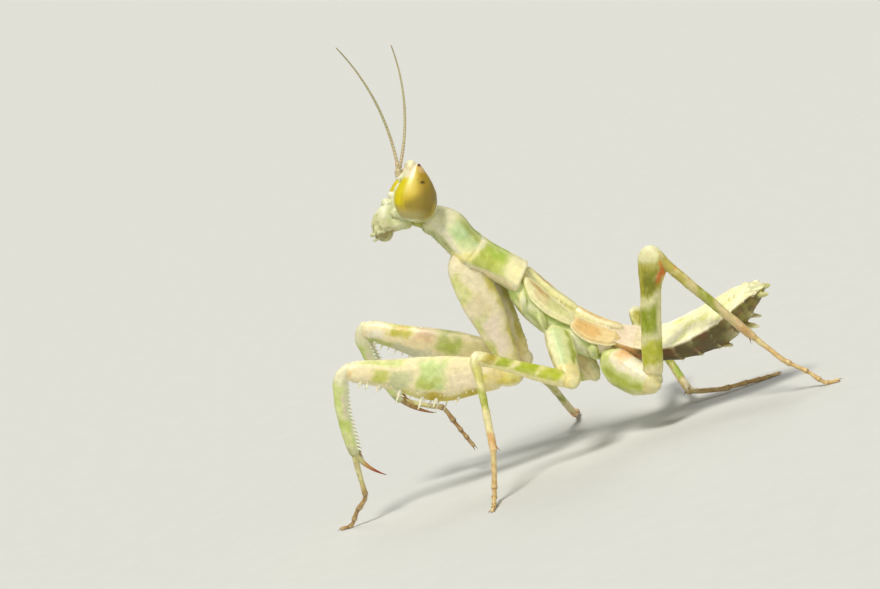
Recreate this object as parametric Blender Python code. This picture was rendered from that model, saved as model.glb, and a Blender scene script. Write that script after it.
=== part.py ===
"""Subadult flower mantis, life size: one closed solid for each named part of the body.

+X is the way the body faces, +Y is its left, +Z is up and the feet stand on z = 0.
The sizes below are in millimetres and degrees, and settle() turns the finished meshes to metres.
Each part is lofted through cross-sections. Neighbours run into each other at first, and trim()
then cuts one of the two back from the other, so the body keeps its outline and nothing overlaps.
"""
import math

import bmesh
import bpy
from mathutils import Matrix, Vector

MM = 0.001

# ---- driving dimensions -------------------------------------------------------------------------
CUT = 0.1                # width of the thin cut between two neighbours
LEAN = 14                # the trunk leans this far over to its left
TRUNK_Z = 10.0           # height of the trunk frame's origin over the floor

BODY_SIDES = 14          # corners of a trunk cross-section
LIMB_SIDES = 8           # corners of a coxa, femur or tibia
FINE_SIDES = 6           # corners of a tarsus, feeler or cercus

# The trunk in its own upright frame: x forward, z up, half width, half height.
PROTHORAX = [(-1.5, 8.42, 0.80, 0.80), (-2.2, 8.06, 1.05, 1.04), (-2.75, 7.35, 1.27, 1.20),
             (-3.12, 6.3, 1.45, 1.08), (-3.45, 5.4, 1.62, 1.12), (-4.35, 4.3, 1.36, 1.1),
             (-5.2, 3.35, 1.24, 1.06), (-5.9, 2.5, 1.38, 1.06)]
MESOTHORAX = [(-5.75, 2.4, 1.12, 0.95), (-5.8, 1.4, 1.38, 1.02), (-6.2, 0.25, 1.48, 1.1),
              (-6.85, -0.9, 1.48, 1.12)]
METATHORAX = [(-6.95, -1.1, 1.4, 1.08), (-7.55, -2.05, 1.52, 1.12), (-8.55, -3.1, 1.48, 1.08),
              (-9.55, -3.8, 1.28, 1.0)]

# The abdomen from its waist to its tip: x, height of the back, half width, depth to the belly.
ABDOMEN = [(-9.8, -3.05, 1.1, 1.6), (-11.1, -3.8, 1.5, 1.65), (-12.4, -4.42, 1.8, 1.5),
           (-13.7, -4.58, 2.05, 1.6), (-15.2, -4.3, 2.25, 1.95), (-17.3, -3.85, 2.2, 2.35),
           (-19.0, -3.35, 1.65, 2.0), (-20.1, -3.2, 1.0, 1.2)]
ABDOMEN_TIP = (-20.8, -3.25, 0.5, 0.5)
BACK_RISE = 0.06         # the back is nearly flat
LOBE = 0.28              # how far each hind edge of the belly stands out over the next ring

CERCUS_BASE, CERCUS_TIP = (-20.0, 0.4, -3.5), (-21.2, 0.7, -3.6)
CERCUS_RADII = (0.3, 0.32, 0.25)

# The head, in a frame with x out of the face, y left and z up along the face.
HEAD_CENTRE = (-1.45, 0.0, 10.4)                 # in the trunk's frame
HEAD_YAW, HEAD_PITCH, HEAD_ROLL = 22, 45, 5
CAPSULE = [(1.9, 0.92, 0.18, 0.35), (1.6, 0.86, 0.42, 0.7), (1.1, 0.76, 0.72, 1.1),
           (0.6, 0.52, 0.88, 1.35), (0.1, 0.26, 1.04, 1.45), (-0.4, 0.16, 1.12, 1.42),
           (-0.85, 0.2, 1.22, 1.35), (-1.15, 0.3, 1.32, 1.2)]
MOUTH = [(-1.2, 0.36, 1.3, 1.15), (-1.6, 0.42, 1.3, 1.1), (-2.1, 0.5, 1.24, 1.0),
         (-2.7, 0.72, 1.0, 0.86), (-3.3, 0.86, 0.7, 0.62), (-3.85, 0.96, 0.3, 0.3)]
EYE_LENGTH, EYE_DEPTH, EYE_WIDTH = 3.9, 1.38, 1.05
EYE_FOOT = (-0.68, 1.30, -1.62)                  # lowest point of the left eye
EYE_LEAN, EYE_SPLAY = 25, 9                      # the eye's axis, forward and outward from z
EYE_PROFILE = [(0.0, 0.3), (0.06, 0.62), (0.16, 0.87), (0.3, 1.0), (0.45, 0.98), (0.6, 0.84),
               (0.75, 0.6), (0.88, 0.34), (0.96, 0.17)]

# The feelers: base in the head's frame, and start and end angle of the arc in the leaning plane.
FEELER_RADIUS = 0.25
FEELER_BASE = (1.42, 0.3, 0.75)
FEELER_LENGTH = {"left": 9.6, "right": 8.9}
FEELER_FORWARD = {"left": (36, 72), "right": (10, 46)}
FEELER_SPREAD = 9

NECK = [(-0.5, 9.5, 0.66, 0.7), (-1.1, 8.9, 0.7, 0.76), (-1.9, 8.3, 0.74, 0.74)]

# Legs: coxa, femur with its trochanter, tibia, first and second half of the tarsus.
LENGTHS = {"fore": (7.75, 10.85, 5.8, 2.9, 2.7), "mid": (4.3, 6.7, 6.3, 2.6, 2.1),
           "hind": (3.9, 8.9, 8.6, 2.4, 3.4)}
ROOTS = {"fore": (-3.0, 1.0, 4.95), "mid": (-6.95, 1.1, -1.5), "hind": (-9.6, 1.1, -4.4)}
# The way each of those five points, as a compass angle from +X toward +Y and a rise. None in
# place of a rise is the slope that brings the sole down to the floor.
FLOOR = None
POSE = {("fore", "left"): [(-100, -79), (17, 18), (-8, -72), (-43, -80), (-10, FLOOR)],
        ("fore", "right"): [(-118, -80), (-2, 25), (-92, -75), (-166, -29), (174, -69)],
        ("mid", "left"): [(103, -44), (29, 35), (85, -68), (45, -69), (95, FLOOR)],
        ("mid", "right"): [(175, -79), (-45, -1), (-86, -38), (-78, -6), (-65, FLOOR)],
        ("hind", "left"): [(148, -35), (169, 70), (179, -58), (165, -52), (172, FLOOR)],
        ("hind", "right"): [(-135, -58), (-78, 21), (117, -37), (165, -8), (-170, FLOOR)]}
SOLE_Z = 0.14            # height of a foot's centre line, less than its radius, so the sole is flat
PAD = 0.7                # length of the last joint, which lies along the floor

# Along each leg piece: share of its length, half depth, half thickness, belly offset.
COXAE = {"fore": [(-0.09, 0.6, 0.5, 0.2), (-0.02, 1.0, 0.68, 0.2), (0.12, 1.24, 0.78, 0.16),
                  (0.34, 1.34, 0.8, 0.1), (0.55, 1.18, 0.72, 0.04), (0.78, 0.92, 0.62, 0.04),
                  (0.95, 0.68, 0.52, 0), (1.02, 0.42, 0.36, 0)],
         "mid": [(0.0, 0.80, 0.62, 0), (0.3, 0.95, 0.74, 0), (0.65, 0.82, 0.66, 0),
                 (0.95, 0.68, 0.56, 0), (1.08, 0.42, 0.36, 0)],
         "hind": [(-0.05, 0.9, 0.68, -0.2), (0.25, 1.3, 0.86, -0.35), (0.6, 1.25, 0.82, -0.35),
                  (0.92, 0.88, 0.66, -0.15), (1.08, 0.5, 0.42, -0.1)]}
FEMORA = {"fore": [(-0.07, 0.4, 0.36, 0.45), (-0.03, 0.75, 0.5, 0.5), (0.05, 0.92, 0.58, 0.55),
                   (0.16, 1.08, 0.66, 0.58), (0.27, 1.34, 0.72, 0.66), (0.42, 1.52, 0.78, 0.72),
                   (0.56, 1.42, 0.76, 0.62), (0.72, 1.04, 0.66, 0.34), (0.86, 0.84, 0.56, 0.14),
                   (0.96, 0.74, 0.5, 0.05), (1.02, 0.44, 0.34, 0)],
          "mid": [(0.0, 0.4, 0.36, 0), (0.06, 0.56, 0.46, 0), (0.2, 0.56, 0.46, 0),
                  (0.5, 0.47, 0.4, 0), (0.85, 0.43, 0.36, 0), (0.96, 0.46, 0.38, 0),
                  (1.03, 0.3, 0.28, 0)],
          "hind": [(0.0, 0.42, 0.38, 0), (0.06, 0.55, 0.46, 0), (0.2, 0.68, 0.52, -0.06),
                   (0.55, 0.68, 0.5, -0.12), (0.76, 0.72, 0.48, -0.1), (0.87, 0.94, 0.52, 0),
                   (0.96, 0.88, 0.48, 0), (1.04, 0.46, 0.34, -0.04)]}
TIBIAE = {"fore": [(-0.08, 0.34, 0.3, -0.1), (0.02, 0.52, 0.4, -0.42), (0.14, 0.55, 0.43, -0.6),
                   (0.34, 0.52, 0.44, -0.6), (0.6, 0.5, 0.42, -0.42), (0.88, 0.44, 0.38, -0.1),
                   (1.0, 0.3, 0.28, 0)],
          "mid": [(0.0, 0.3, 0.28, 0), (0.08, 0.36, 0.32, 0), (0.4, 0.29, 0.27, 0),
                  (0.93, 0.29, 0.27, 0), (1.0, 0.26, 0.25, 0)],
          "hind": [(0.0, 0.34, 0.3, 0), (0.07, 0.42, 0.34, 0), (0.3, 0.37, 0.31, 0),
                   (0.94, 0.33, 0.29, 0), (1.0, 0.27, 0.25, 0)]}
TARSUS_RADII = (0.25, 0.27, 0.25, 0.26, 0.22)

# Spines of the grasping legs: place along the belly of the femur, and length.
FEMUR_SPINES = [(0.27, 0.45), (0.38, 0.6), (0.52, 0.8), (0.64, 0.8), (0.77, 0.55), (0.85, 0.4)]
SPINE_RADIUS, SPINE_ROOT = 0.17, 0.3
CLAW_LENGTH, CLAW_RADIUS = 2.9, 0.32

# Wing pads: stations on the thorax from root to tip, and the angles from the ridge they cover.
PAD_THICKNESS = 0.5
FORE_PAD_BED = [(-5.72, 3.0, 1.05, 0.65), (-5.75, 2.4, 1.1, 0.7)] + MESOTHORAX[1:] + METATHORAX[1:2]
FORE_PAD = [(0.12, 34, 46), (0.24, 26, 56), (0.42, 22, 65), (0.66, 20, 64), (0.86, 22, 56),
            (1.0, 30, 44)]
HIND_PAD_BED = METATHORAX[1:] + [(-10.3, -4.25, 1.2, 0.95)]
HIND_PAD = [(0.12, 30, 44), (0.26, 20, 60), (0.5, 17, 70), (0.75, 21, 69), (0.96, 34, 54)]


# ---- materials ----------------------------------------------------------------------------------
def material(name, red, green, blue, roughness):
    mat = bpy.data.materials.new(name)
    mat.use_nodes = True
    shader = mat.node_tree.nodes["Principled BSDF"]
    shader.inputs["Base Color"].default_value = (red, green, blue, 1)
    shader.inputs["Roughness"].default_value = roughness
    shader.inputs["Metallic"].default_value = 0
    return mat


# ---- frames -------------------------------------------------------------------------------------
def trunk_frame():
    """From the trunk's upright frame to the world: it leans to the left over the floor."""
    return Matrix.Translation((0, 0, TRUNK_Z)) @ Matrix.Rotation(-math.radians(LEAN), 4, "X")


def head_frame():
    """From the head's frame to the world. The head is held level and turned, whatever the lean."""
    turn = Matrix.Rotation(math.radians(HEAD_YAW), 4, "Z")
    lift = Matrix.Rotation(-math.radians(HEAD_PITCH), 4, "Y")
    roll = Matrix.Rotation(math.radians(HEAD_ROLL), 4, "X")
    return Matrix.Translation(trunk_frame() @ Vector(HEAD_CENTRE)) @ turn @ lift @ roll


def heading(compass, rise):
    flat = math.cos(math.radians(rise))
    return Vector((flat * math.cos(math.radians(compass)), flat * math.sin(math.radians(compass)),
                   math.sin(math.radians(rise))))


def mirrored(point, side):
    x, y, z = point
    return Vector((x, y if side == "left" else -y, z))


# ---- meshes -------------------------------------------------------------------------------------
def oval(centre, across, along, sides, blunt=1.0):
    """A ring of points round centre; blunt under 1 squares the oval off."""
    ring = []
    for corner in range(sides):
        angle = 2 * math.pi * (corner + 0.5) / sides
        c, s = math.cos(angle), math.sin(angle)
        x = math.copysign(abs(c) ** blunt, c)
        y = math.copysign(abs(s) ** blunt, s)
        ring.append(centre + across * x + along * y)
    return ring


def loft(name, rings, mat):
    """A closed solid through rings of equally many points."""
    bm = bmesh.new()
    loops = [[bm.verts.new(point) for point in ring] for ring in rings]
    sides = len(loops[0])
    for here, there in zip(loops, loops[1:]):
        for i in range(sides):
            j = (i + 1) % sides
            bm.faces.new((here[i], here[j], there[j], there[i]))
    bm.faces.new(loops[0])
    bm.faces.new(loops[-1])
    bmesh.ops.recalc_face_normals(bm, faces=bm.faces)
    return as_object(name, bm, mat)


def as_object(name, bm, mat):
    mesh = bpy.data.meshes.new(name)
    bm.to_mesh(mesh)
    bm.free()
    obj = bpy.data.objects.new(name, mesh)
    if mat:
        mesh.materials.append(mat)
    bpy.context.collection.objects.link(obj)
    return obj


def tube(name, points, radii, sides, mat):
    """A bent round rod, with each ring square to the bend."""
    rings = []
    across = None
    for i, point in enumerate(points):
        before, after = points[max(i - 1, 0)], points[min(i + 1, len(points) - 1)]
        tangent = (after - before).normalized()
        if across is None:
            across = tangent.orthogonal().normalized()
        across = (across - across.dot(tangent) * tangent).normalized()
        rings.append(oval(point, across * radii[i], tangent.cross(across) * radii[i], sides))
    return loft(name, rings, mat)


def boolean(target, mesh, operation):
    """Combine a part with another closed mesh and keep the largest body that comes out."""
    other = bpy.data.objects.new("other", mesh)
    bpy.context.collection.objects.link(other)
    modifier = target.modifiers.new("cut", "BOOLEAN")
    modifier.operation = operation
    modifier.object = other
    bpy.context.view_layer.update()
    graph = bpy.context.evaluated_depsgraph_get()
    result = bpy.data.meshes.new_from_object(target.evaluated_get(graph))
    target.modifiers.clear()
    target.data = result
    bpy.data.objects.remove(other)
    keep_largest(target.data)


def keep_largest(mesh):
    bm = bmesh.new()
    bm.from_mesh(mesh)
    unseen, bodies = set(bm.verts), []
    while unseen:
        body, front = set(), [unseen.pop()]
        while front:
            vert = front.pop()
            body.add(vert)
            for edge in vert.link_edges:
                neighbour = edge.other_vert(vert)
                if neighbour in unseen:
                    unseen.remove(neighbour)
                    front.append(neighbour)
        bodies.append(body)
    largest = max(bodies, key=len)
    bmesh.ops.delete(bm, geom=[v for v in bm.verts if v not in largest], context="VERTS")
    bm.to_mesh(mesh)
    bm.free()


def grown(mesh):
    """A copy of a closed mesh, larger by the thin cut on every side."""
    bm = bmesh.new()
    bm.from_mesh(mesh)
    shifts = [(vert, vert.normal * CUT * min(vert.calc_shell_factor(), 1.6)) for vert in bm.verts]
    for vert, shift in shifts:
        vert.co += shift
    bigger = bpy.data.meshes.new("grown")
    bm.to_mesh(bigger)
    bm.free()
    return bigger


def flatten_sole(obj):
    """Cut a foot off level at the floor."""
    bm = bmesh.new()
    bm.from_mesh(obj.data)
    everything = bm.verts[:] + bm.edges[:] + bm.faces[:]
    bmesh.ops.bisect_plane(bm, geom=everything, dist=1e-5, plane_co=(0, 0, 0),
                           plane_no=(0, 0, 1), clear_inner=True)
    bmesh.ops.holes_fill(bm, edges=[e for e in bm.edges if e.is_boundary])
    bmesh.ops.recalc_face_normals(bm, faces=bm.faces)
    bm.to_mesh(obj.data)
    bm.free()


# ---- trunk --------------------------------------------------------------------------------------
def trunk_section(stations, share):
    """Centre, half-width vector and half-height vector of the trunk at a share of its stations."""
    place = min(max(share, 0), 1) * (len(stations) - 1)
    first = min(int(place), len(stations) - 2)
    part = place - first
    a, b = stations[first], stations[first + 1]
    x, z, half_width, half_height = [p + (q - p) * part for p, q in zip(a, b)]
    before = stations[max(first - 1 + round(part), 0)]
    after = stations[min(first + 1 + round(part), len(stations) - 1)]
    back = Vector((after[0] - before[0], 0, after[1] - before[1])).normalized()
    up = back.cross(Vector((0, 1, 0)))
    if up.x > 0:
        up = -up
    return Vector((x, 0, z)), Vector((0, half_width, 0)), up * half_height


def trunk_length(name, stations, mat, blunt=0.9):
    frame = trunk_frame()
    rings = []
    for i in range(len(stations)):
        centre, wide, high = trunk_section(stations, i / (len(stations) - 1))
        rings.append([frame @ p for p in oval(centre, wide, high, BODY_SIDES, blunt)])
    return loft(name, rings, mat)


def abdomen(mat):
    """A flat back over a deep belly, with each ring's hind edge standing out over the next."""
    frame = trunk_frame()
    rings = []
    for here, after in zip(ABDOMEN, ABDOMEN[1:] + [ABDOMEN_TIP]):
        for share, flare in ((0.0, 0.0), (0.9, LOBE)):
            x, z, wide, deep = [p + (q - p) * share for p, q in zip(here, after)]
            rings.append([frame @ p for p in abdomen_ring(x, z, wide + 0.3 * flare, deep + flare)])
    x, z, wide, deep = ABDOMEN_TIP
    rings.append([frame @ p for p in abdomen_ring(x, z, wide, deep)])
    return loft("abdomen", rings, mat)


def abdomen_ring(x, back_z, wide, deep):
    ring = []
    for corner in range(BODY_SIDES):
        angle = 2 * math.pi * (corner + 0.5) / BODY_SIDES
        c, s = math.cos(angle), math.sin(angle)
        rise = BACK_RISE if s > 0 else deep
        drift = -0.35 * max(-s, 0)
        ring.append(Vector((x + drift * LOBE, wide * math.copysign(abs(c) ** 0.8, c),
                            back_z + rise * s)))
    return ring


def cercus(side, mat):
    """One of the two short feelers at the end of the abdomen."""
    frame = trunk_frame()
    base, tip = mirrored(CERCUS_BASE, side), mirrored(CERCUS_TIP, side)
    points = [frame @ base.lerp(tip, share) for share in (0, 0.5, 1)]
    return tube("cercus_" + side, points, CERCUS_RADII, FINE_SIDES, mat)


def wing_pad(name, side, stations, outline, mat):
    """A leaf that lies on the thorax and follows its round, from the ridge down the flank."""
    frame = trunk_frame()
    steps = 4
    rings = []
    for share, top, bottom in outline:
        centre, wide, high = trunk_section(stations, share)
        outer, inner = [], []
        for step in range(steps + 1):
            angle = math.radians(top + (bottom - top) * step / steps)
            way = wide * math.sin(angle) + high * math.cos(angle)
            if side == "right":
                way.y = -way.y
            lift = way.normalized()
            edge = 0.6 if step in (0, steps) else 1.0
            outer.append(frame @ (centre + way + lift * (CUT + PAD_THICKNESS * edge)))
            inner.append(frame @ (centre + way * 0.9))
        rings.append(outer + inner[::-1])
    return loft(name, rings, mat)


# ---- head ---------------------------------------------------------------------------------------
def head_stack(name, levels, mat):
    """A solid stacked up the face: height, centre out of the face, half depth, half width."""
    frame = head_frame()
    rings = []
    for z, x, deep, wide in levels:
        centre = Vector((x, 0, z))
        ring = oval(centre, Vector((deep, 0, 0)), Vector((0, wide, 0)), BODY_SIDES, 0.85)
        rings.append([frame @ p for p in ring])
    return loft(name, rings, mat)


def eye(side, mat):
    """A teardrop eye, round below and drawn up to a point."""
    frame = head_frame()
    foot = mirrored(EYE_FOOT, side)
    lean, splay = math.radians(EYE_LEAN), math.radians(EYE_SPLAY)
    axis = mirrored((math.sin(lean), math.sin(splay), math.cos(lean)), side).normalized()
    deep = Vector((0, 1, 0)).cross(axis).normalized()
    wide = axis.cross(deep)
    rings = []
    for share, swell in EYE_PROFILE + [(1.0, 0.04)]:
        centre = foot + axis * EYE_LENGTH * share
        ring = oval(centre, deep * EYE_DEPTH * swell, wide * EYE_WIDTH * swell, BODY_SIDES)
        rings.append([frame @ p for p in ring])
    return loft("eye_" + side, rings, mat)


def feeler(side, mat):
    """An antenna on a long even arc."""
    frame = head_frame()
    start, end = FEELER_FORWARD[side]
    spread = math.radians(FEELER_SPREAD)
    steps = 12
    point = mirrored(FEELER_BASE, side)
    points = [point - Vector((0.3, 0, 0.1))]
    for step in range(steps):
        forward = math.radians(start + (end - start) * step / (steps - 1))
        way = Vector((math.sin(forward), math.sin(spread), math.cos(forward))).normalized()
        points.append(point.copy())
        point = point + mirrored(way, side) * FEELER_LENGTH[side] / (steps - 1)
    points = [frame @ p for p in points]
    return tube("antenna_" + side, points, [FEELER_RADIUS] * len(points), FINE_SIDES, mat)


# ---- legs ---------------------------------------------------------------------------------------
def leg_joints(pair, side):
    """The joints from the hip to the last joint of the foot, and the compass angle of the foot."""
    point = trunk_frame() @ mirrored(ROOTS[pair], side)
    joints = [point]
    for length, (compass, rise) in zip(LENGTHS[pair], POSE[pair, side]):
        if rise is FLOOR:
            rise = -math.degrees(math.asin((point.z - SOLE_Z) / length))
        point = point + heading(compass, rise) * length
        joints.append(point)
    return joints


def leg_piece(name, start, end, belly, profile, mat):
    """A limb segment whose deeper side lies in the plane of its joint."""
    along = end - start
    axis = along.normalized()
    belly = (belly - belly.dot(axis) * axis).normalized()
    flank = axis.cross(belly)
    rings = []
    for share, deep, thick, offset in profile:
        centre = start + along * share + belly * offset
        rings.append(oval(centre, belly * deep, flank * thick, LIMB_SIDES, 0.9))
    return loft(name, rings, mat)


def spine(name, base, way, length, radius):
    """A sharp four-sided cone."""
    way = way.normalized()
    across = way.orthogonal().normalized()
    rings = [oval(base, across * radius, way.cross(across) * radius, 4),
             oval(base + way * length, across * 0.03, way.cross(across) * 0.03, 4)]
    return loft(name, rings, None)


def femur_spines(side, femur, knee, belly):
    """The row of spines under a grasping femur, slanting toward the knee."""
    axis = (knee - femur).normalized()
    belly = (belly - belly.dot(axis) * axis).normalized()
    profile = FEMORA["fore"]
    spines = []
    for share, length in FEMUR_SPINES:
        after = next(i for i, station in enumerate(profile) if station[0] >= share)
        low, high = profile[after - 1], profile[after]
        part = (share - low[0]) / (high[0] - low[0])
        edge = sum((a + (b - a) * part) for a, b in ((low[1], high[1]), (low[3], high[3])))
        base = femur + (knee - femur) * share + belly * (edge - SPINE_ROOT)
        spines.append(spine(f"spine_{side}_{share}", base, belly + axis * 0.35,
                            length + SPINE_ROOT, SPINE_RADIUS))
    return spines


def claw(side, end, tibia_axis, belly):
    """The long hooked claw at the end of a grasping tibia."""
    steps = 6
    belly = (belly - belly.dot(tibia_axis) * tibia_axis).normalized()
    way = (tibia_axis * 0.8 + belly * 0.6).normalized()
    points = [end - tibia_axis * 0.45]
    for step in range(steps):
        points.append(points[-1] + way * CLAW_LENGTH / steps)
        way = (way + belly * 0.13).normalized()
    radii = [CLAW_RADIUS * (1 - 0.8 * step / steps) for step in range(steps + 1)]
    return tube("claw_" + side, points, radii, FINE_SIDES, None)


def tarsus(name, joints, on_floor, mat):
    ankle, middle, toe = joints
    last = toe - middle
    if on_floor:
        last.z = 0
    points = [ankle, ankle.lerp(middle, 0.5), middle, toe, toe + last.normalized() * PAD]
    obj = tube(name, points, TARSUS_RADII, FINE_SIDES, mat)
    if on_floor:
        flatten_sole(obj)
    return obj


def leg(pair, side, mats):
    """Coxa, femur, tibia and tarsus of one leg, with the spines and claw of a grasping leg."""
    hip, trochanter, knee, ankle, middle, toe = leg_joints(pair, side)
    femur_axis = (knee - trochanter).normalized()
    tibia_axis = (ankle - knee).normalized()
    spans = {"coxa": (hip, trochanter, femur_axis, COXAE), "tibia": (knee, ankle, -femur_axis, TIBIAE),
             "femur": (trochanter, knee, tibia_axis, FEMORA)}
    pieces = [leg_piece(f"{pair}_{part}_{side}", start, end, belly, profiles[pair], mats["limb"])
              for part, (start, end, belly, profiles) in spans.items()]
    on_floor = POSE[pair, side][-1][1] is FLOOR
    pieces.append(tarsus(f"{pair}_tarsus_{side}", (ankle, middle, toe), on_floor, mats["foot"]))
    if pair == "fore":
        pieces += femur_spines(side, trochanter, knee, tibia_axis)
        pieces.append(claw(side, ankle, tibia_axis, -femur_axis))
    return pieces


# ---- whole animal -------------------------------------------------------------------------------
def cuts():
    """Which part gives way to which of its neighbours."""
    eyes = ("eye_left", "eye_right")
    pairs = [("head", eyes), ("mouthparts", ("head",) + eyes),
             ("neck", ("prothorax", "head", "mouthparts") + eyes), ("mesothorax", ("prothorax",)),
             ("metathorax", ("mesothorax",)), ("abdomen", ("metathorax",))]
    roots = {"fore": ("prothorax",), "mid": ("mesothorax", "metathorax"),
             "hind": ("metathorax", "abdomen", "mesothorax")}
    for side in ("left", "right"):
        pads = (f"fore_wing_pad_{side}", f"hind_wing_pad_{side}")
        pairs += [("antenna_" + side, ("head",) + eyes), ("cercus_" + side, ("abdomen",)),
                  (pads[0], ("prothorax", "mesothorax", "metathorax")),
                  (pads[1], ("metathorax", "abdomen", pads[0]))]
        for pair in ROOTS:
            coxa, femur, tibia, foot = [f"{pair}_{part}_{side}"
                                        for part in ("coxa", "femur", "tibia", "tarsus")]
            pairs += [(coxa, roots[pair] + pads), (femur, (coxa,)), (tibia, (femur,)),
                      (foot, (tibia,))]
        pairs += [(f"fore_tarsus_{side}", ("claw_" + side,))]
    return pairs


def trim(parts):
    shapes = {name: part.data.copy() for name, part in parts.items()}
    for name, neighbours in cuts():
        for neighbour in neighbours:
            boolean(parts[name], grown(shapes[neighbour]), "DIFFERENCE")


def weld_fittings(parts):
    """Join each spine to its femur and each claw to its tibia."""
    for side in ("left", "right"):
        for prefix, owner in (("spine_", "fore_femur_"), ("claw_", "fore_tibia_")):
            for name in [n for n in parts if n.startswith(prefix + side)]:
                fitting = parts.pop(name)
                boolean(parts[owner + side], fitting.data, "UNION")
                bpy.data.objects.remove(fitting)


def settle(parts):
    """Put the middle of the whole box over the origin, and turn millimetres to metres."""
    points = [v.co for part in parts for v in part.data.vertices]
    middle_x = (min(p.x for p in points) + max(p.x for p in points)) / 2
    middle_y = (min(p.y for p in points) + max(p.y for p in points)) / 2
    place = Matrix.Scale(MM, 4) @ Matrix.Translation((-middle_x, -middle_y, 0))
    for part in parts:
        part.data.transform(place)
        part.data.shade_smooth()
        part.data.set_sharp_from_angle(angle=math.radians(40))


def build():
    for old in list(bpy.data.objects):
        bpy.data.objects.remove(old)

    mats = {"limb": material("banded_cuticle", 0.52, 0.57, 0.24, 0.42),
            "trunk": material("trunk_cuticle", 0.50, 0.55, 0.25, 0.45),
            "back": material("abdomen_cuticle", 0.62, 0.62, 0.25, 0.45),
            "face": material("face_cuticle", 0.66, 0.66, 0.48, 0.4),
            "eye": material("eye_cornea", 0.68, 0.56, 0.10, 0.15),
            "pad": material("wing_pad_cuticle", 0.66, 0.52, 0.28, 0.45),
            "foot": material("foot_cuticle", 0.52, 0.32, 0.15, 0.45),
            "feeler": material("feeler_cuticle", 0.42, 0.40, 0.22, 0.5)}

    pieces = [head_stack("head", CAPSULE, mats["face"]), head_stack("mouthparts", MOUTH, mats["face"]),
              trunk_length("neck", NECK, mats["trunk"]),
              trunk_length("prothorax", PROTHORAX, mats["trunk"]),
              trunk_length("mesothorax", MESOTHORAX, mats["trunk"]),
              trunk_length("metathorax", METATHORAX, mats["trunk"]), abdomen(mats["back"])]
    for side in ("left", "right"):
        pieces += [eye(side, mats["eye"]), feeler(side, mats["feeler"]), cercus(side, mats["back"]),
                   wing_pad(f"fore_wing_pad_{side}", side, FORE_PAD_BED, FORE_PAD, mats["pad"]),
                   wing_pad(f"hind_wing_pad_{side}", side, HIND_PAD_BED, HIND_PAD, mats["pad"])]
        for pair in ROOTS:
            pieces += leg(pair, side, mats)

    parts = {piece.name: piece for piece in pieces}
    trim(parts)
    weld_fittings(parts)
    settle(list(parts.values()))


build()
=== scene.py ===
"""A young flower mantis at life size: skin, eyes, feelers, wing pads, spines, claws and hairs.

An insect has no flesh outside: its skin is a shell of hardened plates that meet in soft folds.
Each plate is lofted round its own axis in millimetres, all of them are fused into one closed skin,
and the markings are painted on the skin by place along and round each plate.
"""
import math
from collections import namedtuple

import bpy
import numpy as np
from mathutils import Matrix, Vector, noise
from mathutils.bvhtree import BVHTree


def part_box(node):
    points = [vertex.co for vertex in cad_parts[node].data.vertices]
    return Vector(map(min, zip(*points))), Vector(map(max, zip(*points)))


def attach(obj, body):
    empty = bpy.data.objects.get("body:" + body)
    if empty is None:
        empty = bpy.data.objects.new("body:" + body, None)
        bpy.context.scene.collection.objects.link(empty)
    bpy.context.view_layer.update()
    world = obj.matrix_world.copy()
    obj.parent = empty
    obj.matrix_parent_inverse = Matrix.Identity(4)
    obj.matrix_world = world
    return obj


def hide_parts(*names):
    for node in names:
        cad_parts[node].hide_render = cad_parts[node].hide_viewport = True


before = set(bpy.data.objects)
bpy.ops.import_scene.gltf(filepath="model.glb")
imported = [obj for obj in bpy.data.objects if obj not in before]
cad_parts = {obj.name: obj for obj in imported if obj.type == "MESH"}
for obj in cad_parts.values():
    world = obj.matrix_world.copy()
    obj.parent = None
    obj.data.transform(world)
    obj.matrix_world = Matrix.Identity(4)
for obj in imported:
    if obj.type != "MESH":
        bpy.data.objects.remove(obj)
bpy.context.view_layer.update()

# ---- stance ------------------------------------------------------------------------------------
# The animal walks along +X, has its left side to +Y and leans over to that side. Shapes are worked
# out in millimetres about a point on the floor between the feet, the same as for the solids.
MM = 0.001
SIDES = {"left": 1, "right": -1}
LEAN, TRUNK_HEIGHT = 14, 10.0
HEAD_POINT = (-1.45, 0, 10.4)
HEAD_YAW, HEAD_PITCH, HEAD_ROLL = 22, 45, 5


def turn(axis, degrees):
    return np.array(Matrix.Rotation(math.radians(degrees), 3, axis))


def unit(vector):
    vector = np.asarray(vector, float)
    return vector / np.linalg.norm(vector, axis=-1, keepdims=True)


TRUNK_TURN = turn("X", -LEAN)
HEAD_TURN = turn("Z", HEAD_YAW) @ turn("Y", -HEAD_PITCH) @ turn("X", HEAD_ROLL)


def in_trunk(points):
    """From the trunk's axes (forward, left, up through the back) to the stance."""
    return np.asarray(points, float) @ TRUNK_TURN.T + (0, 0, TRUNK_HEIGHT)


HEAD_CENTRE = in_trunk(HEAD_POINT)


def in_head(points):
    """From the head's own axes (out of the face, to its left, up the face) to the stance."""
    return np.asarray(points, float) @ HEAD_TURN.T + HEAD_CENTRE


def mirrored(point, side):
    """A point given for the left side, on either side."""
    return np.array(point, float) * (1, SIDES[side], 1)


# ---- eyes --------------------------------------------------------------------------------------
# Each eye is a tall cone of clear cornea over coloured facets, round below and drawn up to a small
# horny bump. The facets are hexagons that pack the whole surface, and the dark spot is where the
# viewer looks straight down them.
EYE_DEPTH, EYE_WIDTH = 1.38, 1.05
EYE_FOOT, EYE_SPLAY = (-0.68, 1.30, -1.62), 9
EYE_LENGTH, EYE_LEAN, FRONT_BULGE = 3.78, 23, 0.07

# The eye's solid is a little longer and leans more. The whole model is set down by it.
SOLID_LENGTH, SOLID_LEAN = 3.9, 25

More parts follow.
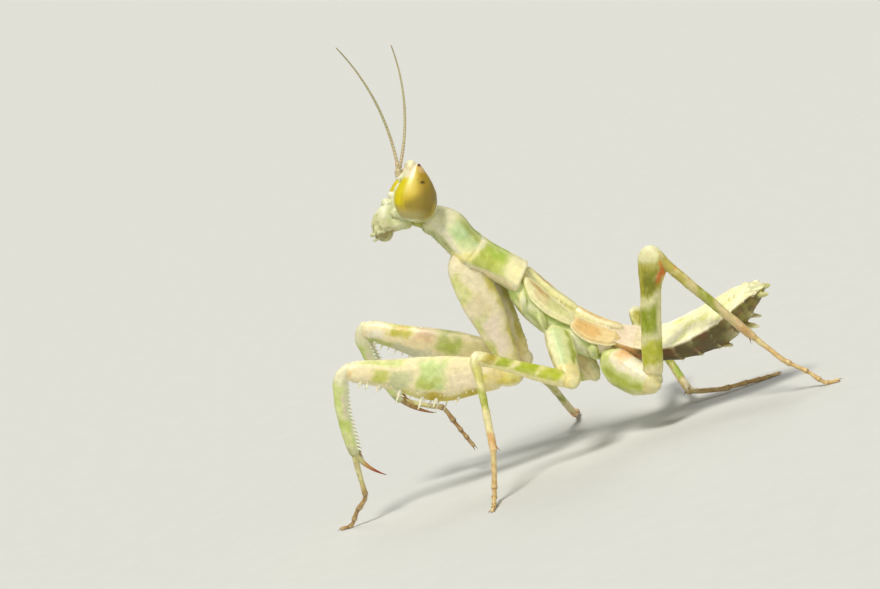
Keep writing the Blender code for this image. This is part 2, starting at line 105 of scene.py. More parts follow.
# Width at shares of the eye's length. The ends keep off 0 and 1, so that no ring is a point.
EYE_PROFILE = [(0.0, 0.0), (0.008, 0.22), (0.05, 0.57), (0.13, 0.83), (0.22, 0.95), (0.33, 1.0),
               (0.46, 0.97), (0.6, 0.83), (0.75, 0.6), (0.87, 0.36), (0.93, 0.24), (0.955, 0.17),
               (0.98, 0.13), (0.995, 0.07), (1.0, 0.0)]
EYE_ENDS = 0.0004

# Facets are about 0.03 mm across on a real eye, and are drawn a little coarser so that they show.
FACET = 0.045


def linear(code):
    """An sRGB hex colour as linear light."""
    share = np.array([int(code[i:i + 2], 16) for i in (0, 2, 4)]) / 255
    return np.where(share <= 0.04045, share / 12.92, ((share + 0.055) / 1.055) ** 2.4)


def painted(base, *coats):
    """A ground, a hex colour or colours laid before, under thin coats: hex colour and mask."""
    colours = np.tile(linear(base), (len(coats[0][1]), 1)) if isinstance(base, str) else base
    for code, mask in coats:
        colours = colours + (linear(code) - colours) * mask[:, None]
    return colours


def fade(value, low, high):
    share = np.clip((value - low) / (high - low), 0, 1)
    return share * share * (3 - 2 * share)


def window(value, low, high, soft):
    return fade(value, low - soft, low + soft) * (1 - fade(value, high - soft, high + soft))


def bell(value, at, width):
    return np.exp(-((value - at) / width) ** 2)


def line(angle, at, width):
    """1 along a line that runs the length of a plate at that angle, fading over a width."""
    return bell(np.abs((angle - at + math.pi) % (2 * math.pi) - math.pi), 0, width)


def cloud(points, grain, layer=0):
    """Soft variation from -1 to 1 whose patches are about grain millimetres across."""
    return np.array([noise.noise(point) for point in np.asarray(points) / grain + 7.3 * layer])


def flow(stations, places):
    """Read a table of stations at any place: smooth, and never past the values on either side."""
    table = np.array(stations, float)
    at, rows = table[:, 0], table[:, 1:]
    steps = np.diff(at)[:, None]
    rise = np.diff(rows, axis=0) / steps
    slopes = np.zeros_like(rows)
    agree = rise[:-1] * rise[1:] > 0
    slopes[1:-1] = np.where(agree, 2 * rise[:-1] * rise[1:] / np.where(agree, rise[:-1] + rise[1:], 1), 0)
    slopes[0], slopes[-1] = rise[0], rise[-1]
    i = np.clip(np.searchsorted(at, places, "right") - 1, 0, len(at) - 2)
    t = ((places - at[i]) / steps[i, 0])[:, None]
    return (rows[i] * (1 + 2 * t) * (1 - t) ** 2 + rows[i + 1] * t * t * (3 - 2 * t)
            + steps[i] * (slopes[i] * t * (1 - t) ** 2 - slopes[i + 1] * t * t * (1 - t)))


def rings(centres, ups, outs, up_share, out_share):
    """Points in rows and columns: each row is a ring round its centre."""
    return centres[:, None] + ups[:, None] * up_share[..., None] + outs[:, None] * out_share[..., None]


def ring_faces(rows, sides, first=0):
    """Quads between the rings, and a cap on each end."""
    faces = []
    for row in range(rows - 1):
        a = first + row * sides
        b = a + sides
        for i in range(sides):
            j = (i + 1) % sides
            faces.append((a + i, a + j, b + j, b + i))
    faces.append(tuple(range(first + sides - 1, first - 1, -1)))
    faces.append(tuple(range(first + (rows - 1) * sides, first + rows * sides)))
    return faces


def eye_rings(side, sides=96, rows=90, length=EYE_LENGTH, lean=EYE_LEAN, fuller=FRONT_BULGE):
    """Rings up the eye; fuller bulges its front beyond the plain round."""
    lean, splay = math.radians(lean), math.radians(EYE_SPLAY)
    axis = unit(mirrored((math.sin(lean), math.sin(splay), math.cos(lean)), side))
    front = unit(np.cross((0, 1, 0), axis))
    outward = np.cross(axis, front) * SIDES[side]
    places = (1 - np.cos(np.linspace(0, math.pi, rows))) / 2
    places[0], places[-1] = EYE_ENDS, 1 - EYE_ENDS
    width = flow(EYE_PROFILE, places)[:, :1]
    centres = mirrored(EYE_FOOT, side) + axis * places[:, None] * length
    angles = np.linspace(0, 2 * math.pi, sides, endpoint=False)
    bulge = 1 + fuller * window(places, 0.25, 0.9, 0.15)[:, None] * np.maximum(np.cos(angles), 0)
    points = rings(centres, front * EYE_DEPTH * width, outward * EYE_WIDTH * width,
                   np.cos(angles) * bulge, np.sin(angles) + 0 * bulge)
    return in_head(points), places, angles


EYE_LOW, EYE_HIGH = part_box("eye_left")
EYE_POINTS = eye_rings("left", 8, 90, SOLID_LENGTH, SOLID_LEAN, 0)[0].reshape(-1, 3)
SHIFT = (np.array(EYE_LOW + EYE_HIGH) / MM - EYE_POINTS.min(0) - EYE_POINTS.max(0)) / 2

# Pigment lies under clear yellowish chitin, so it shows deeper and warmer than on the surface.
PIGMENT_DEPTH = (1.2, 1.17, 1.4)


def piece(name, points, faces, material, replaced, colours):
    """Set a piece down in metres, ride it on the body and hide the solids it stands for."""
    mesh = bpy.data.meshes.new(name)
    points = (np.asarray(points) + SHIFT) * MM
    points[:, 2] = np.maximum(points[:, 2], 0)
    mesh.from_pydata(points.tolist(), [], faces)
    mesh.materials.append(material)
    mesh.shade_smooth()
    colours = np.hstack([np.clip(colours, 0, 1) ** PIGMENT_DEPTH, np.ones((len(colours), 1))])
    markings = mesh.color_attributes.new("markings", "FLOAT_COLOR", "POINT")
    markings.data.foreach_set("color", colours.ravel())
    obj = bpy.data.objects.new(name, mesh)
    bpy.context.scene.collection.objects.link(obj)
    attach(obj, "root")
    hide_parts(*replaced)


def wire(tree, node, links):
    for name, source in links.items():
        tree.links.new(source, node.inputs[name])


def add(tree, kind, settings, links):
    """Add a node, set its properties or input values, and link its inputs."""
    node = tree.nodes.new(kind)
    for name, value in settings.items():
        if name in node.inputs:
            node.inputs[name].default_value = value
        else:
            setattr(node, name, value)
    wire(tree, node, links)
    return node


def new_material(name, **values):
    """A Principled material with its fixed values set on its own sockets, and its coordinates."""
    material = bpy.data.materials.new(name)
    material.use_nodes = True
    tree = material.node_tree
    shader = tree.nodes["Principled BSDF"]
    for socket, value in values.items():
        shader.inputs[socket.replace("_", " ")].default_value = value
    return material, tree, shader, add(tree, "ShaderNodeTexCoord", {}, {}).outputs["Object"]


def per_mm(grain):
    """Texture scale whose features are about grain millimetres across."""
    return 1 / (grain * MM)


def shaded(tree, pattern, low, high, at_low, at_high, under=None):
    """The markings, or the colour under, made darker or lighter as a pattern goes low to high."""
    if under is None:
        under = add(tree, "ShaderNodeAttribute", {"attribute_name": "markings"}, {}).outputs["Color"]
    shade = add(tree, "ShaderNodeMapRange", {"From Min": low, "From Max": high, "To Min": at_low,
                                             "To Max": at_high}, {"Value": pattern}).outputs["Result"]
    return add(tree, "ShaderNodeVectorMath", {"operation": "SCALE"},
               {"Vector": under, "Scale": shade}).outputs["Vector"]


def cornea():
    """Clear chitin over pigment: wet gloss, broken very finely by the facets."""
    material, tree, shader, place = new_material(
        "cornea_over_facets", Roughness=0.36, IOR=1.45, Coat_Weight=0.22, Coat_Roughness=0.28,
        Subsurface_Weight=0.2, Subsurface_Scale=0.3 * MM)
    facets = add(tree, "ShaderNodeTexVoronoi", {"Scale": per_mm(FACET), "Randomness": 0.25},
                 {"Vector": place}).outputs["Distance"]
    bump = add(tree, "ShaderNodeBump", {"Strength": 0.25, "Distance": 0.01 * MM, "invert": True},
               {"Height": facets})
    wire(tree, shader, {"Base Color": shaded(tree, facets, 0.0, 0.8, 1.06, 0.82),
                        "Normal": bump.outputs["Normal"]})
    return material


def paint_eye(places, angles):
    """Yellow in front, gold above and dusky below, with cream rims and a dark tip. The rear is
    painted darker as painted shade, and a yellow arc low on the rear rim is a painted reflection.
    """
    s, angle = np.repeat(places, len(angles)), np.tile(angles, len(places))
    front = np.cos(angle)
    streak = cloud(np.stack([angle * 3, s * 1.2, 0 * s], 1), 0.5, 4) * 0.08
    disc = 1 - fade(s + 0.22 * front, 0.4, 0.58)
    pigment = painted(
        "DCC157",
        ("EFE08A", window(s, 0.5, 0.9, 0.14) * fade(front, -0.2, 0.6)),
        # Painted shade: the upper rear half of the eye darker.
        ("A88C3E", window(s, 0.44, 0.9, 0.12) * fade(-front, -0.35, 0.45) * 0.8),
        ("C9B05C", window(s, 0.5, 0.84, 0.06) * fade(-front, 0.72, 0.95) * 0.6),
        ("AF9A4C", disc),
        # Painted shade: the rear of the lower disc darker.
        ("9F8838", disc * fade(-front, -0.25, 0.5) * fade(s, 0.05, 0.25) * 0.9),
        # Painted reflection: a yellow arc low on the rear rim.
        ("CDB62E", fade(-front, 0.62, 0.85) * window(s, 0.12, 0.36, 0.06) * 0.6),
        ("E0D214", window(s, 0.24, 0.78, 0.08) * fade(front + streak, 0.58, 0.8)),
        ("CDB24A", window(s, 0.12, 0.27, 0.06) * fade(front, 0.4, 0.8)),
        ("CBC092", window(s, -0.1, 0.2, 0.09) * fade(front, -0.8, 0.1) * 0.9),
        ("E9E4BE", 1 - fade(s - 0.02 * front, 0.015, 0.055)),
        ("F3E9D2", window(s, 0.76, 1.1, 0.04) * fade(front, 0.25, 0.6)),
        ("E4C4A6", window(s, 0.86, 1.1, 0.04) * fade(-front, -0.3, 0.3) * 0.8),
        ("7A5560", window(s, 0.955, 1.1, 0.01) * fade(-front, -0.5, 0.1)),
        ("D9A05A", fade(-front, 0.9, 1.0) * window(s, 0.42, 0.66, 0.08) * 0.7),
        ("5C2A12", fade(-front, 0.9, 0.99) * window(s, 0.2, 0.42, 0.06) * 0.8))
    pigment = pigment * (1 + streak * fade(s, 0.1, 0.4))[:, None]
    return painted(pigment, ("2A1204", 1.2 * bell(s, 0.7, 0.02) * line(angle, 1.86, 0.16)),
                   ("5A3A14", 0.5 * bell(s, 0.745, 0.01) * line(angle, 1.5, 0.08)))


CORNEA = cornea()
for side in SIDES:
    points, places, angles = eye_rings(side)
    piece("compound_eye_" + side, points.reshape(-1, 3), ring_faces(len(places), len(angles)), CORNEA,
          ["eye_" + side], paint_eye(places, angles))

# ---- shells of the skin: thorax ----------------------------------------------------------------
# The trunk plates: a long shield over the first length of the thorax, widest above the front hips
# where a groove crosses it, and two short box-like lengths behind that carry the wing pads. Each
# station down the trunk is x, z, half width and half depth.
PROTHORAX = [(-1.42, 8.5, 0.55, 0.6), (-1.62, 8.36, 0.86, 0.86), (-2.2, 8.06, 1.07, 1.06),
             (-2.75, 7.35, 1.27, 1.2), (-3.12, 6.3, 1.42, 1.08), (-3.45, 5.4, 1.66, 1.13),
             (-4.0, 4.7, 1.46, 1.1), (-4.6, 4.0, 1.28, 1.08), (-5.2, 3.35, 1.24, 1.06),
             (-5.7, 2.75, 1.34, 1.07), (-5.88, 2.52, 1.36, 1.04), (-5.95, 2.45, 1.1, 0.8)]
MESOTHORAX = [(-5.45, 2.9, 0.8, 0.6), (-5.6, 2.4, 1.06, 0.85), (-5.8, 1.4, 1.36, 1.0),
              (-6.2, 0.25, 1.46, 1.08), (-6.85, -0.9, 1.46, 1.1), (-7.05, -1.2, 1.3, 0.95)]
METATHORAX = [(-6.75, -0.8, 1.2, 0.9), (-7.0, -1.2, 1.38, 1.05), (-7.55, -2.05, 1.5, 1.12),
              (-8.55, -3.1, 1.46, 1.08), (-9.45, -3.75, 1.3, 1.0), (-10.0, -4.05, 1.1, 0.85)]
NECK = [(-0.3, 9.6, 0.5, 0.55), (-0.5, 9.5, 0.64, 0.68), (-1.1, 8.9, 0.68, 0.74),
        (-1.9, 8.3, 0.72, 0.74), (-2.3, 7.9, 0.6, 0.6)]

SKIN = []


def shell(centres, ups, outs, places, section, painter, sides=56):
    """One closed plate, with what it takes to paint it."""
    angles = np.linspace(0, 2 * math.pi, sides, endpoint=False)
    up_share, out_share = section(places[:, None], angles[None, :])
    return rings(centres, ups, outs, up_share, out_share), places, angles, painter


def oval(keels=(), pairs=(), blunt=1.0, across=()):
    """A round section with keels along it, single or paired, and grooves or swellings across."""
    keels = [*keels, *pairs, *((-at, width, height) for at, width, height in pairs)]

    def section(s, angle):
        swell = 1 + 0 * s * angle
        for at, width, height in keels:
            swell = swell + height * line(angle, at, width)
        for at, width, height in across:
            swell = swell + height * bell(s, at, width)
        c, d = np.cos(angle), np.sin(angle)
        return np.sign(c) * np.abs(c) ** blunt * swell, np.sign(d) * np.abs(d) ** blunt * swell
    return section


def reach(points):
    """How far along a line of points each one lies, as a share of the whole."""
    steps = np.linalg.norm(np.diff(np.asarray(points, float), axis=0), axis=1)
    return np.concatenate([[0], np.cumsum(steps)]) / steps.sum()


def read_stations(stations, rows):
    """Places, x, z, half width and half depth at even steps along a length of trunk."""
    table = np.array(stations, float)
    places = np.linspace(0, 1, rows)
    return places, *flow(np.column_stack([reach(table[:, :2]), table]), places).T


def trunk_shell(stations, section, painter, rows=90):
    """A trunk plate whose rings stand square to its own line."""
    places, x, z, wide, deep = read_stations(stations, rows)
    centres = np.column_stack([x, 0 * x, z])
    along = np.gradient(centres, axis=0)
    ups = unit(np.column_stack([-np.abs(along[:, 2]), 0 * x, np.abs(along[:, 0])])) * deep[:, None]
    SKIN.append(shell(in_trunk(centres), ups @ TRUNK_TURN.T, np.outer(wide, TRUNK_TURN[:, 1]), places,
                      section, painter, 72))


def flecks(points, grain, layer=0, low=0, high=0.4):
    """1 in the thick of a cloud's patches, 0 between them."""
    return fade(cloud(points, grain, layer), low, high)


# A painter takes the share of the way along its plate, how far up and how far out round it from -1
# to 1, and the points themselves, and gives back a colour for each.


def flecked(base, fleck, grain, layer=0, share=1, low=0, high=0.4):
    """A painter for a small plate of one colour with flecks of another."""
    return lambda s, up, out, points: painted(base, (fleck, flecks(points, grain, layer, low, high) * share))


def paint_prothorax(s, up, out, points):
    """Mint in front, a cream girdle at the groove, leaf green behind it, cream margins."""
    wavy = s + 0.03 * cloud(points, 0.7)
    slant = wavy + 0.09 * (1 - up)
    fore = 1 - fade(slant, 0.5, 0.54)
    behind = fade(slant, 0.57, 0.62) * (1 - fade(wavy, 0.76, 0.88)) * fade(up, -0.12, 0.15)
    return painted(
        "EEEBCD",
        ("A9B46A", fade(-up, 0.0, 0.5) * fore * 0.8),
        ("C6DCAE", window(slant, 0.25, 0.48, 0.05) * window(up, 0.25, 1.1, 0.2)),
        ("B4BC58", window(s, 0.22, 0.48, 0.05) * fade(up, 0.86, 0.99) * 0.8),
        ("F7F3DE", bell(up, 0.42 - 1.5 * s, 0.13) * fore * 0.9),
        ("E2E4B8", flecks(points, 0.9, 2, 0.1, 0.5) * fore * 0.5),
        ("C8CF74", behind),
        ("AFCB6C", behind * fade(up, 0.55, 0.9) * window(wavy, 0.62, 0.82, 0.06) * 0.7),
        ("DADF98", behind * flecks(points, 0.5, 3) * 0.5),
        ("EEE5A8", window(slant, 0.5, 0.6, 0.02) * fade(-up, -0.95, -0.3)),
        ("F5EFC8", fade(wavy, 0.8, 0.9) * fade(up, -0.4, 0.1)),
        ("F7ECCB", window(up, -0.55, -0.06, 0.1) * fade(s, 0.5, 0.6)),
        # Darker olive underneath, partly its own colour and partly painted shade.
        ("A9AE5A", fade(-up, 0.6, 0.85) * 0.6),
        ("F4EEDC", line(np.arctan2(out, up), 0, 0.12) * 0.35))


def paint_hind_thorax(s, up, out, points):
    """Whitish green flanks marbled with leaf, cream over the back, darker olive underneath, partly painted
    shade.
    """
    marble = cloud(points, 0.8, 5)
    return painted(
        "D6DEAC",
        ("B8C980", fade(marble, 0.05, 0.35) * 0.8),
        ("F0F0DA", fade(-marble, 0.1, 0.4) * 0.8),
        ("F3EDBC", fade(up, 0.4, 0.75) * 0.9),
        # Darker olive underneath, partly its own colour and partly painted shade.
        ("9BA450", fade(-up, 0.6, 0.95) * 0.7))


def paint_last_thorax(s, up, out, points):
    """Like the length before it, whiter behind with pink and orange over the last hips."""
    return painted(
        paint_hind_thorax(s, up, out, points),
        ("F1E2CF", fade(s, 0.55, 0.8) * fade(up, -0.4, 0.2)),
        ("DDA070", fade(s, 0.6, 0.8) * window(up, -0.5, -0.25, 0.08) * 0.6))


WRINKLED = oval(across=[(0.35, 0.03, -0.05), (0.6, 0.03, -0.05)])
SHIELD = oval([(0, 0.2, 0.035)], [(1.5, 0.16, 0.06), (2.2, 0.3, -0.05)], 0.92,
              [(0.505, 0.012, -0.035), (0.46, 0.03, 0.02), (0.56, 0.03, 0.02), (0.12, 0.02, -0.02),
               (0.93, 0.012, -0.02)])
BOX = oval([(0, 0.16, 0.05)], [(1.0, 0.1, -0.03), (1.9, 0.12, -0.05), (2.5, 0.2, 0.04)], 0.86,
           [(0.3, 0.02, -0.02), (0.72, 0.02, -0.025)])
trunk_shell(NECK, WRINKLED, flecked("AEB058", "D8D9A8", 0.5, 1, 0.7, 0, 0.5), 40)
trunk_shell(PROTHORAX, SHIELD, paint_prothorax, 130)
trunk_shell(MESOTHORAX, BOX, paint_hind_thorax)
trunk_shell(METATHORAX, BOX, paint_last_thorax)

# ---- shells of the skin: abdomen ---------------------------------------------------------------
# The abdomen is carried curled up. Each ring has a flat back plate with a thin raised margin and a
# deep belly plate; the hind edge of every ring stands proud of the next, and the belly plates of
# the middle rings end in leafy lobes. Small teeth edge the back, and two short tails end it.
ABDOMEN = [(-9.0, -3.0, 0.6, 0.8), (-9.4, -3.0, 0.95, 1.3), (-9.8, -3.05, 1.1, 1.5),
           (-11.1, -3.8, 1.45, 1.55), (-12.4, -4.42, 1.72, 1.45), (-13.7, -4.6, 1.95, 1.55),
           (-15.2, -4.42, 2.15, 1.85), (-17.3, -3.95, 2.1, 2.15), (-19.0, -3.42, 1.55, 1.75),
           (-20.1, -3.22, 0.95, 1.05), (-20.7, -3.22, 0.5, 0.5), (-20.95, -3.25, 0.12, 0.12)]
RINGS = 9

# Lobes: x, distance out from the middle, and drop. They run back and outward from their roots.
LOBES = [(-14.3, 0.6, 0.6), (-16.4, 0.75, 0.62), (-18.5, 0.66, 0.66)]
LOBE_SHAPE = [(0, 0.5), (0.3, 1.0), (0.7, 0.8), (0.92, 0.42), (1, 0.06)]
LOBE_BACK, LOBE_OUT, LOBE_SINK, LOBE_WIDTH, LOBE_THICKNESS, LOBE_EDGE = 1.15, 0.15, 0.45, 0.5, 0.1, 0.04

# Teeth of the margin, at shares of the way along, and the two short tails.
MARGIN_TEETH = (0.6, 0.7, 0.79, 0.87, 0.94)
TOOTH_RADII = [(0, 0.17), (0.5, 0.13), (0.85, 0.08), (1, 0.03)]
CERCUS_BASE, CERCUS_TIP = (-19.9, 0.42, -3.42), (-21.2, 0.72, -3.62)
CERCUS_RADII = [(0, 0.2), (0.3, 0.24), (0.8, 0.16), (1, 0.03)]


def ring_share(s):
    return (s * RINGS) % 1


def abdomen_section(s, angle):
    """Flat above with a low crest, deep below, each ring stepping out over the next."""
    c, d = np.cos(angle), np.sin(angle)
    step = ring_share(s) ** 3 * window(s, 0.08, 0.97, 0.03)
    belly = np.maximum(-c, 0)
    crest = 0.05 * bell(np.maximum(c, 0), 0, 0.35) * (c > 0)
    up = np.where(c > 0, 0.06 * c + crest + 0.02 * step * c, c * (1 + 0.09 * step))
    out = np.sign(d) * np.abs(d) ** 0.72 * (1 + 0.04 * step * (1 - belly) + 0.03 * line(c, 0.05, 0.2))
    return up, out * (1 - 0.18 * belly * np.abs(d))


def paint_abdomen(s, up, out, points):
    """Pale yellow back with white rims, a brown and olive belly whose darkness is partly painted shade, pink
    where it starts.
    """
    hinge = ring_share(s)
    dusk = cloud(points, 0.8, 6)
    fine = cloud(points, 0.3, 7)
    start = 1 - fade(s, 0.2, 0.27)
    back = painted(
        "F8F4CA",
        ("E6E892", flecks(points, 1.1, 8, 0.1, 0.4) * window(s, 0.3, 0.85, 0.1) * 0.85),
        ("F9EEDA", fade(np.abs(out), 0.78, 0.95)),
        ("F5E4D2", 1 - fade(s, 0.2, 0.3)),
        ("AFAE80", fade(s, 0.86, 0.93) * fade(fine, -0.5, 0.1) * 0.85),
        ("D6D09A", window(hinge, -0.1, 0.07, 0.04) * 0.3))
    # The belly's dark ground is partly its own brown and olive and partly painted shade underneath.
    belly = painted(
        "6C5A12",
        ("885214", fade(dusk, 0.0, 0.35) * 0.75),
        ("7C7020", fade(-dusk, 0.15, 0.5) * 0.8),
        ("9B923C", fade(s, 0.66, 0.84) * fade(fine, -0.4, 0.2) * 0.85),
        ("D6CFAE", window(hinge, 0.95, 1.1, 0.03) * fade(-up, 0.6, 0.9) * 0.8),
        ("E8C9A4", start * 0.9),
        ("D98F5A", start * window(up, -0.7, -0.45, 0.1)))
    return belly + (back - belly) * fade(up, -0.06, 0.01)[:, None]


def paint_lobe(s, up, out, points):
    return painted("968A40", ("A9803C", flecks(points, 0.4, 9) * 0.7), ("DDD8BE", fade(s, 0.5, 0.8)))


def paint_cercus(s, up, out, points):
    return painted("C3C28A", ("8D7B45", fade(np.sin(s * 40), 0.2, 0.8) * 0.5))


def rod(path, radii, painter, rows=40, sides=20, flat=1.0, first_up=(0, 0, 1)):
    """A bent round plate through a few points, its radius read from stations along it."""
    path = np.asarray(path, float)
    places = np.linspace(0, 1, rows)
    centres = flow(np.column_stack([reach(path), path]), places)
    along = unit(np.gradient(centres, axis=0))
    ups = [np.asarray(first_up, float)]
    for way in along:
        ups.append(unit(ups[-1] - way * np.dot(ups[-1], way)))
    ups = np.array(ups[1:])
    radius = flow(radii, places)
    return shell(centres, ups * radius, np.cross(along, ups) * radius * flat, places, oval(), painter,
                 sides)


def trunk_rod(root, tip, radii, painter, rows, sides, flat):
    """A straight rod on the trunk, from its root to its tip."""
    SKIN.append(rod(in_trunk([root, root * 0.5 + tip * 0.5, tip]), radii, painter, rows, sides, flat))


back_places, back_x, back_z, back_wide, back_deep = read_stations(ABDOMEN, 220)
SKIN.append(shell(in_trunk(np.column_stack([back_x, 0 * back_x, back_z])),
                  np.outer(back_deep, TRUNK_TURN[:, 2]), np.outer(back_wide, TRUNK_TURN[:, 1]),
                  back_places, abdomen_section, paint_abdomen, 110))
for x, apart, drop in LOBES:
    low = np.interp(-x, [-row[0] for row in ABDOMEN], [row[1] - row[3] for row in ABDOMEN])
    for side in SIDES:
        root = mirrored((x, apart, low + LOBE_SINK), side)
        tip = mirrored((x - LOBE_BACK, apart + LOBE_OUT, low + LOBE_SINK - drop), side)
        places = np.linspace(0, 1, 26)
        width = flow(LOBE_SHAPE, places)[:, 0]
        SKIN.append(shell(in_trunk(root + (tip - root) * places[:, None]),
                          np.outer(width * LOBE_WIDTH, TRUNK_TURN[:, 0]),
                          np.outer(width * LOBE_THICKNESS + LOBE_EDGE, TRUNK_TURN[:, 1]), places, oval(),
                          paint_lobe, 24))
paint_margin_tooth = flecked("F6F1D2", "E3D6A0", 0.3, 14, 0.6)
for share in MARGIN_TEETH:
    x, z, wide = (np.interp(share, back_places, column) for column in (back_x, back_z, back_wide))
    for side in SIDES:
        root, tip = (x + 0.1, wide * 0.92, z), (x - 0.3, wide + 0.05, z + 0.06)
        trunk_rod(mirrored(root, side), mirrored(tip, side), TOOTH_RADII, paint_margin_tooth, 20, 14, 0.6)
for side in SIDES:
    trunk_rod(mirrored(CERCUS_BASE, side), mirrored(CERCUS_TIP, side), CERCUS_RADII, paint_cercus, 50, 20,
              0.7)

# ---- shells of the skin: side plates -----------------------------------------------------------
# Under the wing pads the two hind lengths of the thorax have slanting ridges on their sides, each
# given as its share of the length at top and bottom and its size.
RIDGES = [(MESOTHORAX, 0.35, 0.5, 0.3), (MESOTHORAX, 0.62, 0.82, 0.34), (MESOTHORAX, 0.9, 1.0, 0.24),
          (METATHORAX, 0.3, 0.45, 0.3), (METATHORAX, 0.62, 0.75, 0.34)]
RIDGE_TOP, RIDGE_STEP = 62, 28


def flank(stations, share, degrees, side):
    """A point on the side of a trunk length, that many degrees down from the ridge of the back."""
    table = np.column_stack([np.linspace(0, 1, len(stations)), stations])
    x, z, wide, deep = flow(table, np.array([share]))[0]
    c, d = math.cos(math.radians(degrees)), math.sin(math.radians(degrees))
    return mirrored((x - 0.55 * deep * c, 0.94 * wide * d, z + 0.8 * deep * c), side)


for stations, top, bottom, size in RIDGES:
    for side in SIDES:
        path = [flank(stations, top + (bottom - top) * i / 3, RIDGE_TOP + RIDGE_STEP * i, side)
                for i in range(4)]
        SKIN.append(rod(in_trunk(path), [(0, size * 0.4), (0.3, size), (0.7, size * 0.9), (1, size * 0.4)],
                        paint_hind_thorax, 30, 24))

# ---- shells of the skin: head ------------------------------------------------------------------
# A narrow three-cornered capsule between the eyes, with a shield between the feelers and the mouth,
# an upper lip, a jaw on each side, cheeks, and the lower lip with its jointed palps. The capsule's
# stations go down the face: height, centre out of the face, half depth and half width.
CAPSULE = [(1.88, 0.92, 0.06, 0.12), (1.8, 0.9, 0.2, 0.3), (1.5, 0.82, 0.4, 0.6), (1.1, 0.68, 0.62, 0.95),
           (0.6, 0.4, 0.74, 1.15), (0.1, 0.2, 0.88, 1.3), (-0.4, 0.16, 1.0, 1.36),
           (-0.85, 0.2, 1.12, 1.3), (-1.3, 0.3, 1.14, 1.15), (-1.8, 0.42, 1.06, 0.95),
           (-2.4, 0.6, 0.9, 0.74), (-2.8, 0.75, 0.6, 0.5), (-3.0, 0.8, 0.2, 0.2)]
FEELER_BASE = (1.42, 0.3, 0.75)

# Rounded plates: centre, half depth, width and height, and forward tilt in degrees.
BLOBS = {"frontal_shield": ((1.1, 0, -0.02), (0.18, 0.56, 0.42), -6),
         "brow": ((1.02, 0, 1.1), (0.36, 0.4, 0.36), 10),
         "nape": ((-0.75, 0, -0.3), (0.42, 0.8, 0.9), 0),
         "nose": ((1.2, 0, -0.66), (0.34, 0.62, 0.26), 0),
         "lip_base": ((1.32, 0, -1.3), (0.4, 0.62, 0.36), -6),
         "upper_lip": ((1.36, 0, -2.4), (0.44, 0.54, 0.92), 2),
         "lower_lip": ((0.72, 0, -3.05), (0.6, 0.5, 0.66), 24),
         "throat": ((-0.2, 0, -1.9), (0.62, 0.66, 0.5), 20)}
PAIRED_BLOBS = {"crest": ((0.9, 0.62, 1.5), (0.34, 0.26, 0.5), 22),
                "cheek": ((0.1, 0.98, -1.4), (0.98, 0.36, 0.5), 22),
                "temple": ((0.68, 0.72, -0.7), (0.5, 0.34, 0.8), 12),
                "jaw": ((0.95, 0.56, -2.15), (0.74, 0.4, 0.95), 10),
                "jaw_root": ((0.25, 0.74, -2.15), (0.62, 0.32, 0.44), 36),
                "maxilla": ((1.02, 0.38, -3.0), (0.48, 0.28, 0.62), 6)}

# Behind each eye the capsule has the same shape, a little smaller and sunk inward.
ORBIT_SHRINK, ORBIT_SINK = 0.1, (-0.22, -0.32, -0.04)
SOCKET_SINK, SOCKET_RADII = (0.16, 0, 0.08), (0.26, 0.24, 0.26)

# Palps: the line of the joints and the radius.
PALPS = [([(0.5, 0.62, -2.7), (0.82, 0.66, -3.06), (1.1, 0.6, -3.3), (1.3, 0.48, -3.5),
           (1.42, 0.36, -3.74)], 0.11),
         ([(0.6, 0.3, -3.3), (0.84, 0.38, -3.58), (1.02, 0.34, -3.76), (1.14, 0.26, -3.92)], 0.1)]


def blob(centre, radii, tilt, painter):
    """Fuse a rounded plate into the skin."""
    places = np.linspace(0.0005, 0.9995, 34)
    height = -np.cos(places * math.pi)
    round_off = np.sqrt(np.maximum(1 - height ** 2, 1e-5))[:, None]
    lean = turn("Y", tilt)
    centres = np.array(centre, float) + np.outer(height * radii[2], (0, 0, 1)) @ lean.T
    SKIN.append(shell(in_head(centres), (lean @ (radii[0], 0, 0) * round_off) @ HEAD_TURN.T,
                      (np.array((0, radii[1], 0)) * round_off) @ HEAD_TURN.T, places, oval(), painter, 40))


def paint_face(s, up, out, points):
    """Cream with green clouds, a grey-green muzzle, orange-brown where the jaws close. The muzzle
    grows darker toward its bottom and the head is olive low behind the face, both partly painted shade.
    """
    x, _, z = ((points - HEAD_CENTRE) @ HEAD_TURN).T
    jaw_line = z + 2.93 - 1.05 * (0.45 - x)
    return painted(
        "DFE1CA",
        ("C9CDA8", fade(-z, 0.7, 1.6) * (1 - fade(x, 1.1, 1.4)) * 0.75),
        ("D6DCB0", flecks(points, 0.55, 10, 0.05, 0.4) * (1 - fade(z, 0.2, 0.9)) * 0.7),
        ("F5F2DF", fade(x, 1.0, 1.5) * fade(z, -1.3, -0.6) * 0.8),
        ("D9DCC2", fade(-z, 1.9, 2.6) * 0.7),
        # Darker toward the bottom of the muzzle, partly its grey-brown and partly painted shade.
        ("C9C4A0", fade(-z, 2.0, 2.7) * 0.6),
        ("9A6A34", bell(jaw_line, 0, 0.13) * window(x, 0.3, 0.9, 0.15) * 0.8),
        # Darker still at the very bottom, partly brown and partly painted shade.
        ("A89C74", fade(-z, 2.8, 3.2) * window(x, -0.2, 1.2, 0.2) * 0.7),
        ("7E7048", flecks(points, 0.2, 13, 0.15, 0.45) * fade(-z, 2.3, 2.9) * 0.6),
        # Olive low behind the face, partly its own colour and partly painted shade under the eye.
        ("A6A23C", (1 - fade(x, -0.75, -0.35)) * fade(-z, 0.2, 1.0) * 0.85),
        ("B8C27C", flecks(points, 0.25, 12, 0.15, 0.5) * fade(-z, 1.2, 2.0) * 0.5),
        ("DCC0B0", fade(z, 0.75, 1.1) * fade(x, 1.0, 1.4) * 0.7))


